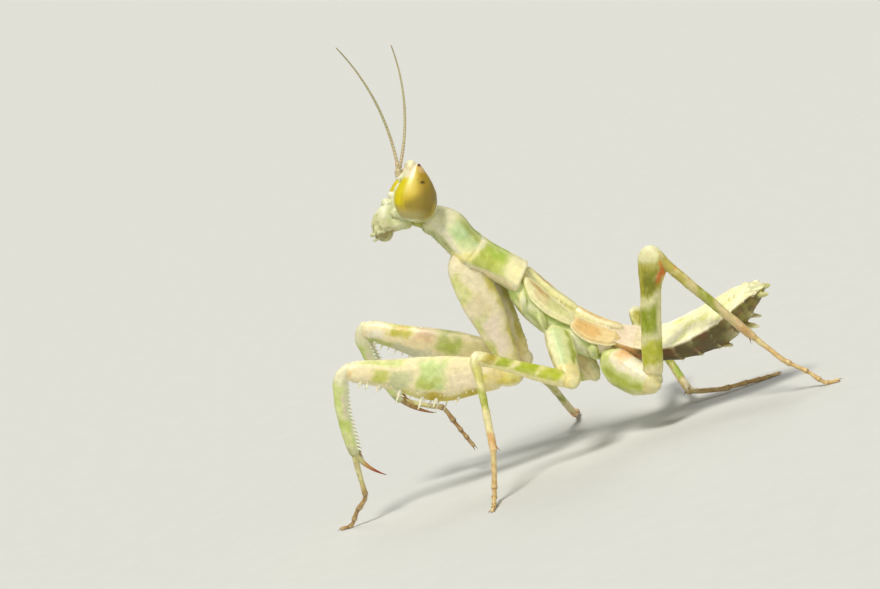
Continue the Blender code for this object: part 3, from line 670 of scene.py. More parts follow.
def paint_palp(s, up, out, points):
    return painted("B9BB9A", ("6F6A48", fade(np.abs(np.sin(s * 4.5 * math.pi)), 0.4, 0.0) * 0.8))


def palp_radii(joints, radius):
    """Thick in the middle of each joint and thin between joints, down to a blunt tip."""
    last = 2 * joints - 2
    middle = [(i / last, radius * (1.05 if i % 2 else 0.72)) for i in range(1, last)]
    return [(0, radius * 0.9), *middle, (1, radius * 0.35)]


levels = np.array(CAPSULE, float)
down = (levels[0, 0] - levels[:, 0]) / (levels[0, 0] - levels[-1, 0])
places = np.linspace(0, 1, 80)
z, x, deep, wide = flow(np.column_stack([down, levels]), places).T
SKIN.append(shell(in_head(np.column_stack([x, 0 * x, z])), np.outer(deep, HEAD_TURN[:, 0]),
                  np.outer(wide, HEAD_TURN[:, 1]), places,
                  oval([(0, 0.3, 0.03)], [(0.6, 0.12, -0.03)], 0.85), paint_face, 64))
paint_crest = flecked("EBE2C6", "DDD09A", 0.4, 11, 0.6, 0.1, 0.5)
for centre, radii, tilt in BLOBS.values():
    blob(centre, radii, tilt, paint_face)
for side in SIDES:
    for name, (centre, radii, tilt) in PAIRED_BLOBS.items():
        blob(mirrored(centre, side), radii, tilt, paint_crest if name == "crest" else paint_face)
    orbit, places, angles = eye_rings(side, 56, 50)
    orbit = orbit + (orbit.mean(1, keepdims=True) - orbit) * ORBIT_SHRINK
    SKIN.append((orbit + mirrored(ORBIT_SINK, side) @ HEAD_TURN.T, places, angles, paint_face))
    for path, radius in PALPS:
        SKIN.append(rod(in_head([mirrored(point, side) for point in path]), palp_radii(len(path), radius),
                        paint_palp, 50, 18))
    blob(mirrored(FEELER_BASE, side) - SOCKET_SINK, SOCKET_RADII, 0, paint_face)

# ---- shells of the skin: legs ------------------------------------------------------------------
# Every leg has a hip, a thigh with its small ring at the hip end, a shank and a five-jointed foot.
# The front pair grasps: long three-cornered hips, deep thighs grooved below to take the shank.
LENGTHS = {"fore": (7.75, 10.85, 5.8, 2.9, 2.7), "mid": (4.3, 6.7, 6.3, 2.6, 2.1),
           "hind": (3.9, 8.9, 8.6, 2.4, 3.4)}
ROOTS = {"fore": (-3.0, 1.0, 4.95), "mid": (-6.95, 1.1, -1.5), "hind": (-9.6, 1.1, -4.4)}

# The pose: compass bearing and rise in degrees of hip, thigh, shank and the two lengths of the
# foot. The last length of a standing foot takes the rise that brings its sole down to the floor.
FLOOR = None
POSE = {("fore", "left"): [(-100, -79), (17, 18), (-8, -72), (-43, -80), (-10, FLOOR)],
        ("fore", "right"): [(-118, -80), (-2, 25), (-92, -75), (-166, -29), (174, -69)],
        ("mid", "left"): [(103, -44), (29, 35), (85, -68), (45, -69), (95, FLOOR)],
        ("mid", "right"): [(175, -79), (-45, -1), (-86, -38), (-78, -6), (-65, FLOOR)],
        ("hind", "left"): [(148, -35), (169, 70), (179, -58), (165, -52), (172, FLOOR)],
        ("hind", "right"): [(-135, -58), (-78, 21), (117, -37), (165, -8), (-170, FLOOR)]}
SOLE, TOE = 0.14, 0.7

# Along each plate: share of its length, half depth, half thickness, offset to its inner bend.
COXAE = {"fore": [(-0.13, 0.3, 0.3, 0.1), (-0.09, 0.62, 0.5, 0.2), (-0.02, 0.98, 0.68, 0.2),
                  (0.12, 1.22, 0.76, 0.16), (0.34, 1.3, 0.78, 0.1), (0.55, 1.14, 0.7, 0.04),
                  (0.78, 0.9, 0.6, 0.04), (0.93, 0.7, 0.52, 0), (1.0, 0.56, 0.44, 0), (1.05, 0.2, 0.2, 0)],
         "mid": [(-0.12, 0.4, 0.3, 0), (0.0, 0.82, 0.62, 0), (0.3, 0.95, 0.72, 0), (0.65, 0.82, 0.64, 0),
                 (0.95, 0.68, 0.54, 0), (1.06, 0.48, 0.4, 0), (1.14, 0.15, 0.15, 0)],
         "hind": [(-0.15, 0.4, 0.3, -0.1), (-0.05, 0.85, 0.66, -0.2), (0.25, 1.26, 0.84, -0.35),
                  (0.6, 1.22, 0.8, -0.35), (0.9, 0.9, 0.64, -0.15), (1.05, 0.58, 0.46, -0.1),
                  (1.14, 0.2, 0.2, -0.05)]}
FEMORA = {"fore": [(-0.075, 0.2, 0.2, 0.42), (-0.06, 0.5, 0.42, 0.45), (-0.02, 0.78, 0.52, 0.5),
                   (0.04, 0.86, 0.55, 0.55), (0.06, 0.82, 0.52, 0.55), (0.1, 0.98, 0.6, 0.56),
                   (0.16, 1.08, 0.66, 0.58), (0.27, 1.32, 0.72, 0.66), (0.42, 1.5, 0.78, 0.72),
                   (0.56, 1.4, 0.76, 0.62), (0.72, 1.04, 0.66, 0.34), (0.86, 0.84, 0.56, 0.14),
                   (0.94, 0.76, 0.52, 0.06), (0.99, 0.62, 0.44, 0.02), (1.03, 0.2, 0.2, 0)],
          "mid": [(-0.06, 0.2, 0.2, 0), (0.0, 0.42, 0.38, 0), (0.05, 0.52, 0.44, 0), (0.08, 0.47, 0.4, 0),
                  (0.12, 0.54, 0.45, 0), (0.25, 0.55, 0.45, 0), (0.5, 0.47, 0.4, 0), (0.8, 0.42, 0.35, 0),
                  (0.93, 0.47, 0.38, 0.02), (1.0, 0.38, 0.32, 0), (1.04, 0.12, 0.12, 0)],
          "hind": [(-0.06, 0.2, 0.2, 0), (0.0, 0.44, 0.4, 0), (0.04, 0.54, 0.46, 0), (0.065, 0.5, 0.42, 0),
                   (0.1, 0.6, 0.48, -0.02), (0.2, 0.67, 0.5, -0.06), (0.55, 0.66, 0.48, -0.12),
                   (0.76, 0.7, 0.46, -0.1), (0.86, 0.9, 0.5, 0.02), (0.93, 0.95, 0.5, 0.04),
                   (0.99, 0.78, 0.44, 0), (1.04, 0.4, 0.3, -0.04), (1.055, 0.1, 0.1, -0.04)]}
TIBIAE = {"fore": [(-0.1, 0.15, 0.15, 0), (-0.06, 0.36, 0.32, -0.15), (0.02, 0.5, 0.39, -0.42),
                   (0.14, 0.54, 0.42, -0.6), (0.34, 0.51, 0.43, -0.6), (0.6, 0.49, 0.41, -0.42),
                   (0.86, 0.44, 0.37, -0.12), (0.97, 0.36, 0.32, 0), (1.02, 0.12, 0.12, 0)],
          "mid": [(-0.04, 0.15, 0.15, 0), (0.0, 0.3, 0.26, 0), (0.06, 0.36, 0.3, -0.05),
                  (0.2, 0.29, 0.26, 0), (0.5, 0.25, 0.23, 0), (0.93, 0.26, 0.24, 0),
                  (1.0, 0.24, 0.22, 0), (1.03, 0.08, 0.08, 0)],
          "hind": [(-0.03, 0.15, 0.15, 0), (0.0, 0.36, 0.3, 0), (0.05, 0.43, 0.33, -0.05),
                   (0.14, 0.36, 0.3, 0), (0.5, 0.32, 0.27, 0), (0.94, 0.29, 0.26, 0),
                   (1.0, 0.24, 0.22, 0), (1.02, 0.08, 0.08, 0)]}

# Along a foot: share of its length and radius.
FOOT = [(0, 0.22), (0.04, 0.2), (0.4, 0.17), (0.455, 0.22), (0.48, 0.145), (0.6, 0.16), (0.64, 0.21),
        (0.66, 0.135), (0.74, 0.155), (0.775, 0.2), (0.79, 0.13), (0.84, 0.145), (0.87, 0.19),
        (0.885, 0.12), (0.95, 0.135), (0.985, 0.15), (1.0, 0.05)]
FOOT_JOINTS = (0.465, 0.65, 0.78, 0.88)

# Patches of the markings: colour, from and to along the plate, then, unless the patch goes all
# round, from and to across it (-1 on the outer bend, 1 on the inner bend) and the face if it keeps
# to one: 1 outer, -1 inner. They lie a little further along on the inner bend.
PATCHES = {
    "fore_coxa": ("F4EAD0", [
        ("E2E3A6", 0.0, 0.3, 0.2, 1.1), ("EADCBC", 0.26, 0.46, -0.35, 0.4),
        ("DEE0A6", 0.44, 0.6, -0.1, 0.8), ("F6E8DC", 0.5, 0.85, -0.4, 0.4),
        # CDC268 along the rear edge is olive, partly of its own and partly painted shade.
        ("D2D48C", 0.66, 0.88, 0.5, 1.1), ("CDC268", -0.1, 1.0, -1.1, -0.84), ("F0E3B2", 0.88, 1.1)]),
    "fore_femur": ("F6EACC", [
        ("CFE0A6", 0.42, 0.585, -0.95, 0.4, 1), ("C3CD72", 0.46, 0.585, -0.1, 0.45, 1),
        ("D0D3B2", 0.62, 0.75, -0.35, 0.62, 1), ("CDD07E", 0.765, 0.86, -0.4, 0.5, 1),
        ("D3DDA0", 0.7, 0.96, -1.1, -0.72, 1), ("F6E8D4", 0.2, 0.38, -0.4, 0.3, 1),
        ("CBB72C", 0.08, 0.5, 0.62, 1.3, 1), ("D9D27C", 0.5, 0.66, 0.62, 1.3, 1),
        ("E5DA74", -0.05, 0.2, -0.3, 0.7, 1), ("F6F0DC", 0.08, 0.15, -0.6, 1.1, 1),
        ("EBCF9C", 0.985, 1.01, -0.3, 0.5, 1), ("EFDFA8", 0.06, 0.16, -1.1, 1.1, 1),
        # F4EFE2 on the inner face near the knee is a painted highlight.
        ("F4EFE2", 0.87, 0.97, -0.55, 0.25, -1), ("C3BE58", 0.73, 0.855, -1.1, -0.35, -1),
        ("D6A948", 0.775, 0.805, -1.1, -0.7, -1), ("E6CDB6", 0.59, 0.7, -1.1, -0.4, -1),
        ("BFCB7C", 0.38, 0.55, -0.9, -0.2, -1), ("DBDBC6", 0.5, 0.8, 0.05, 0.85, -1),
        ("C6CF7E", 0.8, 0.95, 0.3, 1.1, -1), ("E2DAB4", 0.1, 0.36, -1.1, -0.3, -1)]),
    "fore_tibia": ("DCDDBC", [
        ("CFDA98", 0.14, 0.5, -1.1, 0.2), ("C6D588", 0.56, 0.7, -1.1, 0.5), ("CFD89A", 0.72, 0.88),
        ("E0D8C6", 0.25, 0.52, 0.0, 0.5), ("DDE2CC", 0.08, 0.92, 0.62, 1.2), ("B9BB92", 0.9, 1.1),
        ("E9E6CE", -0.1, 0.1)]),
    "mid_coxa": ("DDE0B4", [
        ("D3E0B8", 0.05, 0.8, 0.25, 1.1, 1), ("F0EDCF", 0.0, 0.95, 0.78, 1.1),
        ("9FA83A", 0.0, 0.75, -0.6, -0.25, 1), ("EBDFB0", 0.75, 1.1),
        ("CDBE8C", 0.0, 0.9, -1.1, 1.1, -1)]),
    "mid_femur": ("F2EBBC", [
        ("F2E6B0", -0.1, 0.1), ("C1C93E", 0.12, 0.31, -1.1, 0.7), ("B7C23A", 0.35, 0.59, -1.1, 0.75),
        ("ABB832", 0.66, 0.785, -1.1, 0.6), ("B9A63A", 0.815, 0.915, -1.1, 0.6), ("E8E4C0", 0.95, 1.1)]),
    "mid_tibia": ("E2D8AE", [
        ("D2CE8C", 0.08, 0.3), ("ACB348", 0.38, 0.57), ("DDB48A", 0.82, 1.1)]),
    "hind_coxa": ("D3D9A0", [
        # The whitish upper facet and the green band below it are partly the hip's own colours and partly
        # painted light and shade.
        ("F1EADA", 0.1, 0.95, 0.25, 1.1), ("EDC49C", 0.15, 0.4, 0.8, 1.1),
        ("B4BE5A", 0.05, 0.9, -0.6, -0.05, 1), ("E6E2B8", 0.2, 1.0, -1.1, -0.8), ("E2D6A8", 0.9, 1.2)]),
    "hind_femur": ("DCD9B4", [
        ("DDD2A4", -0.1, 0.13), ("BABC2C", 0.15, 0.33), ("96A200", 0.4, 0.605, -1.1, 0.75),
        ("ACA41C", 0.69, 0.945), ("8A8A00", 0.7, 0.88, -0.6, 0.6), ("DB7E30", 0.755, 0.93, 0.6, 1.1),
        ("E6E3C0", 0.97, 1.2)]),
    "hind_tibia": ("CBBE92", [
        ("BDB268", 0.1, 0.34), ("CC6E38", 0.24, 0.262, -1.1, -0.5), ("969C1C", 0.47, 0.64),
        ("CDBC9C", 0.66, 0.8), ("C6A27C", 0.82, 1.1), ("A6B858", 0.66, 0.84, -1.1, 1.1, -1),
        ("E2DAC4", 0.86, 0.98, -1.1, 1.1, -1)])}
PLATE_LENGTH = {"fore": 10, "mid": 6.5, "hind": 8.5}
SLANT, ALL_ROUND = 0.035, (-1.1, 1.1, 0)
LegPlate = namedtuple("LegPlate", "start end axis inner outer stations")


def heading(compass, rise):
    compass, rise = math.radians(compass), math.radians(rise)
    flat = math.cos(rise)
    return np.array((flat * math.cos(compass), flat * math.sin(compass), math.sin(rise)))


def leg_joints(pair, side):
    """Hip, thigh root, knee, ankle, middle of the foot and toe joint."""
    point = in_trunk(mirrored(ROOTS[pair], side))
    joints = [point]
    for length, (compass, rise) in zip(LENGTHS[pair], POSE[pair, side]):
        if rise is FLOOR:
            rise = -math.degrees(math.asin((point[2] - SOLE) / length))
        point = point + heading(compass, rise) * length
        joints.append(point)
    return joints


def leg_plate(start, end, bend, side, stations):
    """A plate's ends, the ways along it, toward its inner bend and outward, and its stations."""
    axis = unit(end - start)
    inner = unit(bend - axis * np.dot(bend, axis))
    outer = np.cross(axis, inner)
    if outer[1] * SIDES[side] < 0:
        outer = -outer
    return LegPlate(start, end, axis, inner, outer, stations)


def plate_shell(plate, section, painter, rows, sides):
    low, high = plate.stations[0][0], plate.stations[-1][0]
    places = low + (high - low) * (1 - np.cos(np.linspace(0, math.pi, rows))) / 2
    deep, thick, offset = flow(plate.stations, places).T
    centres = plate.start + np.outer(places, plate.end - plate.start) + np.outer(offset, plate.inner)
    return shell(centres, np.outer(deep, plate.inner), np.outer(thick, plate.outer), places, section,
                 painter, sides)


def patch_painter(name):
    """Paint a plate of a leg: its ground colour, its patches, and pale veins between them."""
    base, patches = PATCHES[name]
    length = PLATE_LENGTH[name.split("_")[0]]

    def paint(s, up, out, points):
        along = s - SLANT * up + (0.26 * cloud(points, 0.9, 1) + 0.14 * cloud(points, 0.3, 5)) / length
        across = up + 0.3 * cloud(points, 0.8, 2)
        coats = []
        for code, low, high, *where in patches:
            first, last, face = (*where, 0)[:3] if where else ALL_ROUND
            mask = window(along, low, high, 0.22 / length) * window(across, first, last, 0.18)
            if face:
                mask = mask * fade(out * face, -0.25, 0.1)
            coats.append((code, mask * 0.94))
        return painted(base, *coats, ("F3EEDA", bell(cloud(points, 1.3, 3), 0, 0.04) * 0.12),
                       ("F3EEDA", flecks(points, 0.6, 6, 0.2, 0.55) * 0.18),
                       ("F2EACB", line(np.arctan2(out, up), math.pi, 0.2) * 0.4))
    return paint


def foot_painter(base, near, near_ends, ring, ring_width, ring_share, mottle):
    """Paint a foot: paler near the shank, a dark ring at every joint, mottled all over."""
    def paint(s, up, out, points):
        return painted(base, (near, 1 - fade(s, *near_ends)),
                       *((ring, bell(s, joint, ring_width) * ring_share) for joint in FOOT_JOINTS),
                       (mottle, flecks(points, 0.3, 4) * 0.5))
    return paint


paint_walking_foot = foot_painter("D2B286", "DCCCA4", (0.02, 0.3), "946A42", 0.012, 0.7, "B59066")
paint_grasping_foot = foot_painter("A88460", "D6D2A6", (0.25, 0.5), "7A4A34", 0.014, 0.8, "8C5A3C")
HIP_GROOVE = [(0.93, 0.02, -0.05)]
SECTIONS = {
    "fore_coxa": oval([(0, 0.3, -0.05), (math.pi, 0.3, 0.05)], [(0.75, 0.3, 0.05), (2.1, 0.4, -0.05)],
                      0.92, [(0.95, 0.015, -0.04)]),
    "fore_femur": oval([(math.pi, 0.22, 0.05), (0, 0.2, -0.1), (1.2, 0.2, 0.02), (2.3, 0.25, 0.015)],
                       [(0.42, 0.13, 0.05)], 0.95, [(0.062, 0.008, -0.06), (0.97, 0.01, 0.03)]),
    "fore_tibia": oval([(math.pi, 0.3, 0.04), (0, 0.3, -0.1)], [(0.6, 0.2, 0.08)], 0.95),
    "mid_coxa": oval([(math.pi, 0.3, 0.05)], [(0.9, 0.25, 0.05), (1.9, 0.25, -0.06)], 0.9, HIP_GROOVE),
    "hind_coxa": oval([(math.pi, 0.3, 0.03)], [(0.9, 0.25, 0.06), (1.75, 0.25, -0.06)], 0.88, HIP_GROOVE),
    "walking_femur": oval([(0, 0.25, 0.07), (math.pi, 0.25, 0.06)], [(1.3, 0.2, 0.03), (0.7, 0.25, -0.05)],
                          0.95, [(0.07, 0.01, -0.08)]),
    "walking_tibia": oval(pairs=[(0.6, 0.25, 0.06), (2.5, 0.25, 0.06)])}

LEGS = {}
for pair, side in POSE:
    hip, root, knee, ankle, middle, toe = leg_joints(pair, side)
    thigh, shank = unit(knee - root), unit(ankle - knee)
    leg = {"coxa": leg_plate(hip, root, thigh, side, COXAE[pair]),
           "femur": leg_plate(root, knee, shank, side, FEMORA[pair]),
           "tibia": leg_plate(knee, ankle, -thigh, side, TIBIAE[pair])}
    kind = "fore" if pair == "fore" else "walking"
    for part, section, rows, sides in (("coxa", pair, 70, 56), ("femur", kind, 110, 56),
                                       ("tibia", kind, 90, 40)):
        SKIN.append(plate_shell(leg[part], SECTIONS[f"{section}_{part}"], patch_painter(f"{pair}_{part}"),
                                rows, sides))
    last = toe - middle
    if POSE[pair, side][-1][1] is FLOOR:
        last[2] = 0
    path = [ankle - shank * 0.15, ankle * 0.67 + middle * 0.33, ankle * 0.33 + middle * 0.67, middle,
            middle * 0.5 + toe * 0.5, toe, toe + unit(last) * TOE]
    SKIN.append(rod(path, FOOT, paint_grasping_foot if pair == "fore" else paint_walking_foot, 150, 22))
    LEGS[pair, side] = {**leg, "toe": toe, "toe_way": unit(last)}

# ---- the skin: one surface over every plate ----------------------------------------------------
# The plates are fused into one closed cuticle. Where two of them meet, the fold between them stays
# as a shallow crease, painted browner as painted shade in the fold, and the keels are painted paler,
# partly their own pale rims and partly painted highlight.
VOXEL = 0.05
MOST_TRIANGLES = 192000
RELIEF = [(0.03, 0.9, 21), (0.022, 0.32, 22)]       # height, grain and layer of its unevenness

# Clouds and pits of the finish. Real pits are too fine to show and are drawn this coarse instead.
CLOUD_GRAIN, CLOUD_HEIGHT = 0.35, 0.06
PIT_GRAIN, PIT_DEPTH = 0.12, 0.02


def read(items, name):
    """A vector from every vertex of a mesh."""
    values = np.empty(len(items) * 3)
    items.foreach_get(name, values)
    return values.reshape(-1, 3)


def evaluated(obj):
    return bpy.data.meshes.new_from_object(obj.evaluated_get(bpy.context.evaluated_depsgraph_get()))


def fused(shells):
    """The plates remeshed as one eased surface, with each vertex's nearest plate and its place."""
    corners, faces, owners, places, angles = [], [], [], [], []
    for number, (points, along, around, _) in enumerate(shells):
        rows, sides = points.shape[:2]
        new = ring_faces(rows, sides, sum(len(part) for part in corners))
        corners.append(points.reshape(-1, 3))
        faces += new
        owners += [number] * len(new)
        places.append(np.repeat(along, sides))
        angles.append(np.tile(around, rows))
    corners, places, angles = np.vstack(corners), np.concatenate(places), np.concatenate(angles)
    mesh = bpy.data.meshes.new("plates")
    mesh.from_pydata(corners.tolist(), [], faces)
    obj = bpy.data.objects.new("plates", mesh)
    bpy.context.scene.collection.objects.link(obj)
    remesh = obj.modifiers.new("fuse", "REMESH")
    remesh.mode = "VOXEL"
    remesh.voxel_size = VOXEL
    ease = obj.modifiers.new("ease", "SMOOTH")
    ease.factor, ease.iterations = 0.5, 2
    thin = obj.modifiers.new("thin", "DECIMATE")
    thin.ratio = 1.0
    skin = evaluated(obj)
    if 2 * len(skin.polygons) > MOST_TRIANGLES:
        thin.ratio = MOST_TRIANGLES / (2 * len(skin.polygons))
        skin = evaluated(obj)
    bpy.data.objects.remove(obj)
    points = read(skin.vertices, "co")
    relief = sum(height * cloud(points, grain, layer) for height, grain, layer in RELIEF)
    relief = relief * fade(points[:, 2], 0.3, 1.0)
    points = points + read(skin.vertices, "normal") * relief[:, None]
    points[:, 2] = np.maximum(points[:, 2], 0.0)
    skin.vertices.foreach_set("co", points.ravel())
    skin.update()
    tree = BVHTree.FromPolygons(corners.tolist(), faces)
    near = [tree.find_nearest(point)[2] for point in points]
    four = np.array([face[:4] for face in faces])[near]
    weight = 1 / (np.linalg.norm(corners[four] - points[:, None], axis=2) + 0.01) ** 2
    weight /= weight.sum(1, keepdims=True)
    s, up, out = ((values[four] * weight).sum(1) for values in (places, np.cos(angles), np.sin(angles)))
    return skin, points, np.array(owners)[near], s, up, out


def creases(skin, points):
    """How far each vertex lies below its neighbours: above 0 in folds, below 0 on keels."""
    edges = np.empty(len(skin.edges) * 2, int)
    skin.edges.foreach_get("vertices", edges)
    a, b = edges.reshape(-1, 2).T
    count = np.bincount(a, minlength=len(points)) + np.bincount(b, minlength=len(points))

    def averaged(values):
        total = np.zeros_like(values)
        np.add.at(total, a, values[b])
        np.add.at(total, b, values[a])
        return total / count.reshape(-1, *[1] * (values.ndim - 1))
    depth = ((averaged(points) - points) * read(skin.vertices, "normal")).sum(1) / VOXEL
    for _ in range(3):
        depth = averaged(depth)
    return depth


def cuticle():
    """Living chitin: satin, a little see-through, finely pitted and clouded under the surface."""
    material, tree, shader, place = new_material(
        "satin_chitin", Roughness=0.42, IOR=1.54, Subsurface_Weight=0.3, Subsurface_Scale=0.6 * MM,
        Subsurface_Radius=(1.0, 0.85, 0.35), Coat_Weight=0.12, Coat_Roughness=0.25)
    clouds = add(tree, "ShaderNodeTexNoise",
                 {"Scale": per_mm(CLOUD_GRAIN), "Detail": 4.0, "Roughness": 0.6},
                 {"Vector": place}).outputs["Fac"]
    pits = add(tree, "ShaderNodeTexVoronoi", {"Scale": per_mm(PIT_GRAIN)},
               {"Vector": place}).outputs["Distance"]
    rough = add(tree, "ShaderNodeMapRange", {"To Min": 0.34, "To Max": 0.52}, {"Value": clouds})
    grain = add(tree, "ShaderNodeBump", {"Strength": 0.35, "Distance": PIT_DEPTH * MM}, {"Height": pits})
    relief = add(tree, "ShaderNodeBump", {"Strength": 0.3, "Distance": CLOUD_HEIGHT * MM},
                 {"Height": clouds, "Normal": grain.outputs["Normal"]})
    clouded = shaded(tree, clouds, 0.3, 0.7, 0.88, 1.1)
    wire(tree, shader, {"Base Color": shaded(tree, pits, 0.05, 0.3, 0.9, 1.0, clouded),
                        "Roughness": rough.outputs["Result"], "Normal": relief.outputs["Normal"]})
    return material


skin_mesh, skin_points, owners, s, up, out = fused(SKIN)
skin_colours = np.zeros((len(skin_points), 3))
for number, (*_, painter) in enumerate(SKIN):
    mine = owners == number
    if mine.any():
        skin_colours[mine] = painter(s[mine], up[mine], out[mine], skin_points[mine])
depth = creases(skin_mesh, skin_points)
# Painted shade darkens the folds, and the keels are painted paler, partly as painted highlight.
skin_colours = painted(skin_colours, ("7C6632", fade(depth, 0.02, 0.12) * 0.4),
                       ("F8F3E0", fade(-depth, 0.03, 0.12) * 0.3))
SKIN_NODES = [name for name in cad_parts
              if not name.startswith(("eye", "antenna")) and "wing_pad" not in name]
skin_faces = [tuple(face.vertices) for face in skin_mesh.polygons]
CHITIN = cuticle()
piece("skin", skin_points, skin_faces, CHITIN, SKIN_NODES, skin_colours)

# ---- feelers -----------------------------------------------------------------------------------
# Each feeler is one thick joint, one short joint and a whip of some forty beads, drawn out thin.
# They are pale horn, pinkish at the root and grey-green further out.
FEELER_LENGTH = {"left": 9.6, "right": 8.9}
FEELER_FORWARD = {"left": (36, 72), "right": (10, 46)}
FEELER_SPREAD, FEELER_BEADS, BEAD_SWELL, FEELER_STEPS = 9, 42, 0.09, 12
FEELER_RADII = [(0, 0.1), (0.01, 0.19), (0.02, 0.21), (0.065, 0.19), (0.075, 0.12), (0.085, 0.15),
                (0.105, 0.15), (0.115, 0.115), (0.3, 0.1), (0.7, 0.07), (0.985, 0.038), (1, 0.004)]
HORN_GRAIN, HORN_HEIGHT = 0.15, 0.01


def put(name, shells, material, replaced):
    """Join a few plates into one separate piece and paint it."""
    points, faces, colours = [], [], []
    for plate, places, angles, painter in shells:
        rows, sides = plate.shape[:2]
        faces += ring_faces(rows, sides, sum(len(part) for part in points))
        points.append(plate.reshape(-1, 3))
        s, angle = np.repeat(places, sides), np.tile(angles, rows)
        colours.append(painter(s, np.cos(angle), np.sin(angle), points[-1]))
    piece(name, np.vstack(points), faces, material, replaced, np.vstack(colours))


def paint_feeler(s, up, out, points):
    beads = np.cos(s * FEELER_BEADS * 2 * math.pi)
    return painted("DACDB8", ("C2BDA4", fade(s, 0.12, 0.45)), ("948E74", fade(beads, 0.4, 1.0) * 0.5),
                   ("8C7F68", fade(s, 0.7, 1.0) * 0.6))


def horn():
    """Hard clear-tipped horn: smooth, glossy and a little see-through where it is thin."""
    material, tree, shader, place = new_material(
        "clear_horn", Roughness=0.3, IOR=1.55, Coat_Weight=0.2, Coat_Roughness=0.15,
        Subsurface_Weight=0.25, Subsurface_Scale=0.2 * MM)
    clouds = add(tree, "ShaderNodeTexNoise", {"Scale": per_mm(HORN_GRAIN), "Detail": 3.0},
                 {"Vector": place}).outputs["Fac"]
    bump = add(tree, "ShaderNodeBump", {"Strength": 0.3, "Distance": HORN_HEIGHT * MM},
               {"Height": clouds})
    wire(tree, shader, {"Base Color": shaded(tree, clouds, 0.3, 0.7, 0.85, 1.12),
                        "Normal": bump.outputs["Normal"]})
    return material


HORN = horn()
for side in SIDES:
    low, high = FEELER_FORWARD[side]
    point = mirrored(FEELER_BASE, side)
    path = [point - (0.25, 0, 0.09)]
    for step in range(FEELER_STEPS):
        path.append(point)
        forward = math.radians(low + (high - low) * step / (FEELER_STEPS - 1))
        way = unit((math.sin(forward), math.sin(math.radians(FEELER_SPREAD)), math.cos(forward)))
        point = point + mirrored(way, side) * FEELER_LENGTH[side] / (FEELER_STEPS - 1)
    rows = FEELER_BEADS * 6
    share = np.linspace(0, 1, rows)
    beads = 1 + BEAD_SWELL * np.cos(share * FEELER_BEADS * 2 * math.pi + math.pi) * fade(share, 0.11, 0.14)
    radii = np.column_stack([share, np.interp(share, *zip(*FEELER_RADII)) * beads])
    put("feeler_" + side, [rod(in_head(path), radii, paint_feeler, rows, 12, first_up=(1, 0, 0))], HORN,
        ["antenna_" + side])

# ---- simple eyes -------------------------------------------------------------------------------
# Three glassy beads stand in a triangle on the crown between the feelers. They are domes of the
# same clear chitin as the large eyes, amber from the pigment behind it.
OCELLI = [(1.34, 0, 1.1), (1.18, 0.24, 1.34), (1.18, -0.24, 1.34)]
OCELLUS_RADIUS = 0.085


def bead(centre, radius, painter, rows=16, sides=20):
    places = np.linspace(0.001, 0.999, rows)
    height = -np.cos(places * math.pi)
    centres = np.asarray(centre, float) + np.outer(height * radius, (0, 0, 1))
    width = np.sqrt(1 - height ** 2)[:, None] * radius
    return shell(centres, width * (1, 0, 0), width * (0, 1, 0), places, oval(), painter, sides)


paint_amber = flecked("E0CFA0", "C2A066", 0.1)
put("simple_eyes", [bead(in_head(place), OCELLUS_RADIUS, paint_amber) for place in OCELLI], CORNEA,
    ["head"])

# ---- wing pads ---------------------------------------------------------------------------------
# The wings of a nymph are still flat leathery buds, two on each side. They lie back along the
# thorax like overlapping leaves, with a rolled rim and the veins of the wing to come.
BUD_ROWS, BUD_STEPS = 110, 44
BUD_EDGE, BUD_CROWN, RIM_HEIGHT, WRINKLE_HEIGHT = 0.14, 0.26, 0.07, 0.006

# A bed is the stretch of trunk that a bud lies on: x, z, half width and depth. A leaf is the bud's
# share of its bed from root to tip, and the angles from the ridge of the back that it covers.
BEDS = {"fore": [(-5.72, 3.0, 1.05, 0.65), (-5.75, 2.4, 1.1, 0.7), (-5.8, 1.4, 1.38, 1.02),
                 (-6.2, 0.25, 1.48, 1.1), (-6.85, -0.9, 1.48, 1.12), (-7.55, -2.05, 1.52, 1.12)],
        "hind": [(-6.95, -1.1, 1.4, 1.08), (-7.55, -2.05, 1.52, 1.12), (-8.55, -3.1, 1.48, 1.08),
                 (-9.55, -3.8, 1.28, 1.0), (-10.3, -4.25, 1.2, 0.95)]}
LEAVES = {"fore": [(0.1, 35, 41), (0.14, 28, 47), (0.24, 19, 57), (0.42, 13, 65.5), (0.66, 12, 65),
                   (0.84, 15, 58), (0.95, 22, 49), (1.0, 32, 39)],
          "hind": [(0.1, 32, 39), (0.14, 24, 46), (0.28, 12, 61), (0.5, 8, 70), (0.72, 10, 70),
                   (0.88, 18, 62), (0.96, 28, 54), (0.985, 36, 46)]}

# Veins: place across the leaf at its root, and drift toward its tip.
VEINS = [(-0.5, 0.12), (-0.1, 0.0), (0.32, -0.12), (0.62, -0.2)]
VEIN_HEIGHT, VEIN_WIDTH = 0.032, 0.055


def paint_fore_bud(s, v, points):
    wavy = s + 0.12 * cloud(points, 0.5, 3)
    return painted(
        "F5EFCA",
        ("D2D3A0", window(wavy, 0.5, 0.85, 0.1) * window(v, -0.6, 0.3, 0.2) * 0.7),
        ("C8A272", window(wavy, 0.12, 0.52, 0.09) * window(v, -0.72, -0.2, 0.2) * 0.75),
        ("E8D7B4", window(wavy, 0.2, 0.6, 0.06) * window(v, -0.1, 0.35, 0.1) * 0.8),
        ("F7F2C6", fade(np.abs(v), 0.72, 0.9)))


def paint_hind_bud(s, v, points):
    wavy = s + 0.15 * cloud(points, 0.4, 4)
    return painted(
        "F0D8AE",
        ("E6C08C", window(wavy, 0.2, 0.6, 0.1) * window(v, -0.5, 0.4, 0.2) * 0.8),
        ("F1DDB8", window(wavy, 0.62, 0.85, 0.08) * 0.6),
        ("F8EFD2", fade(np.abs(v), 0.7, 0.88)))


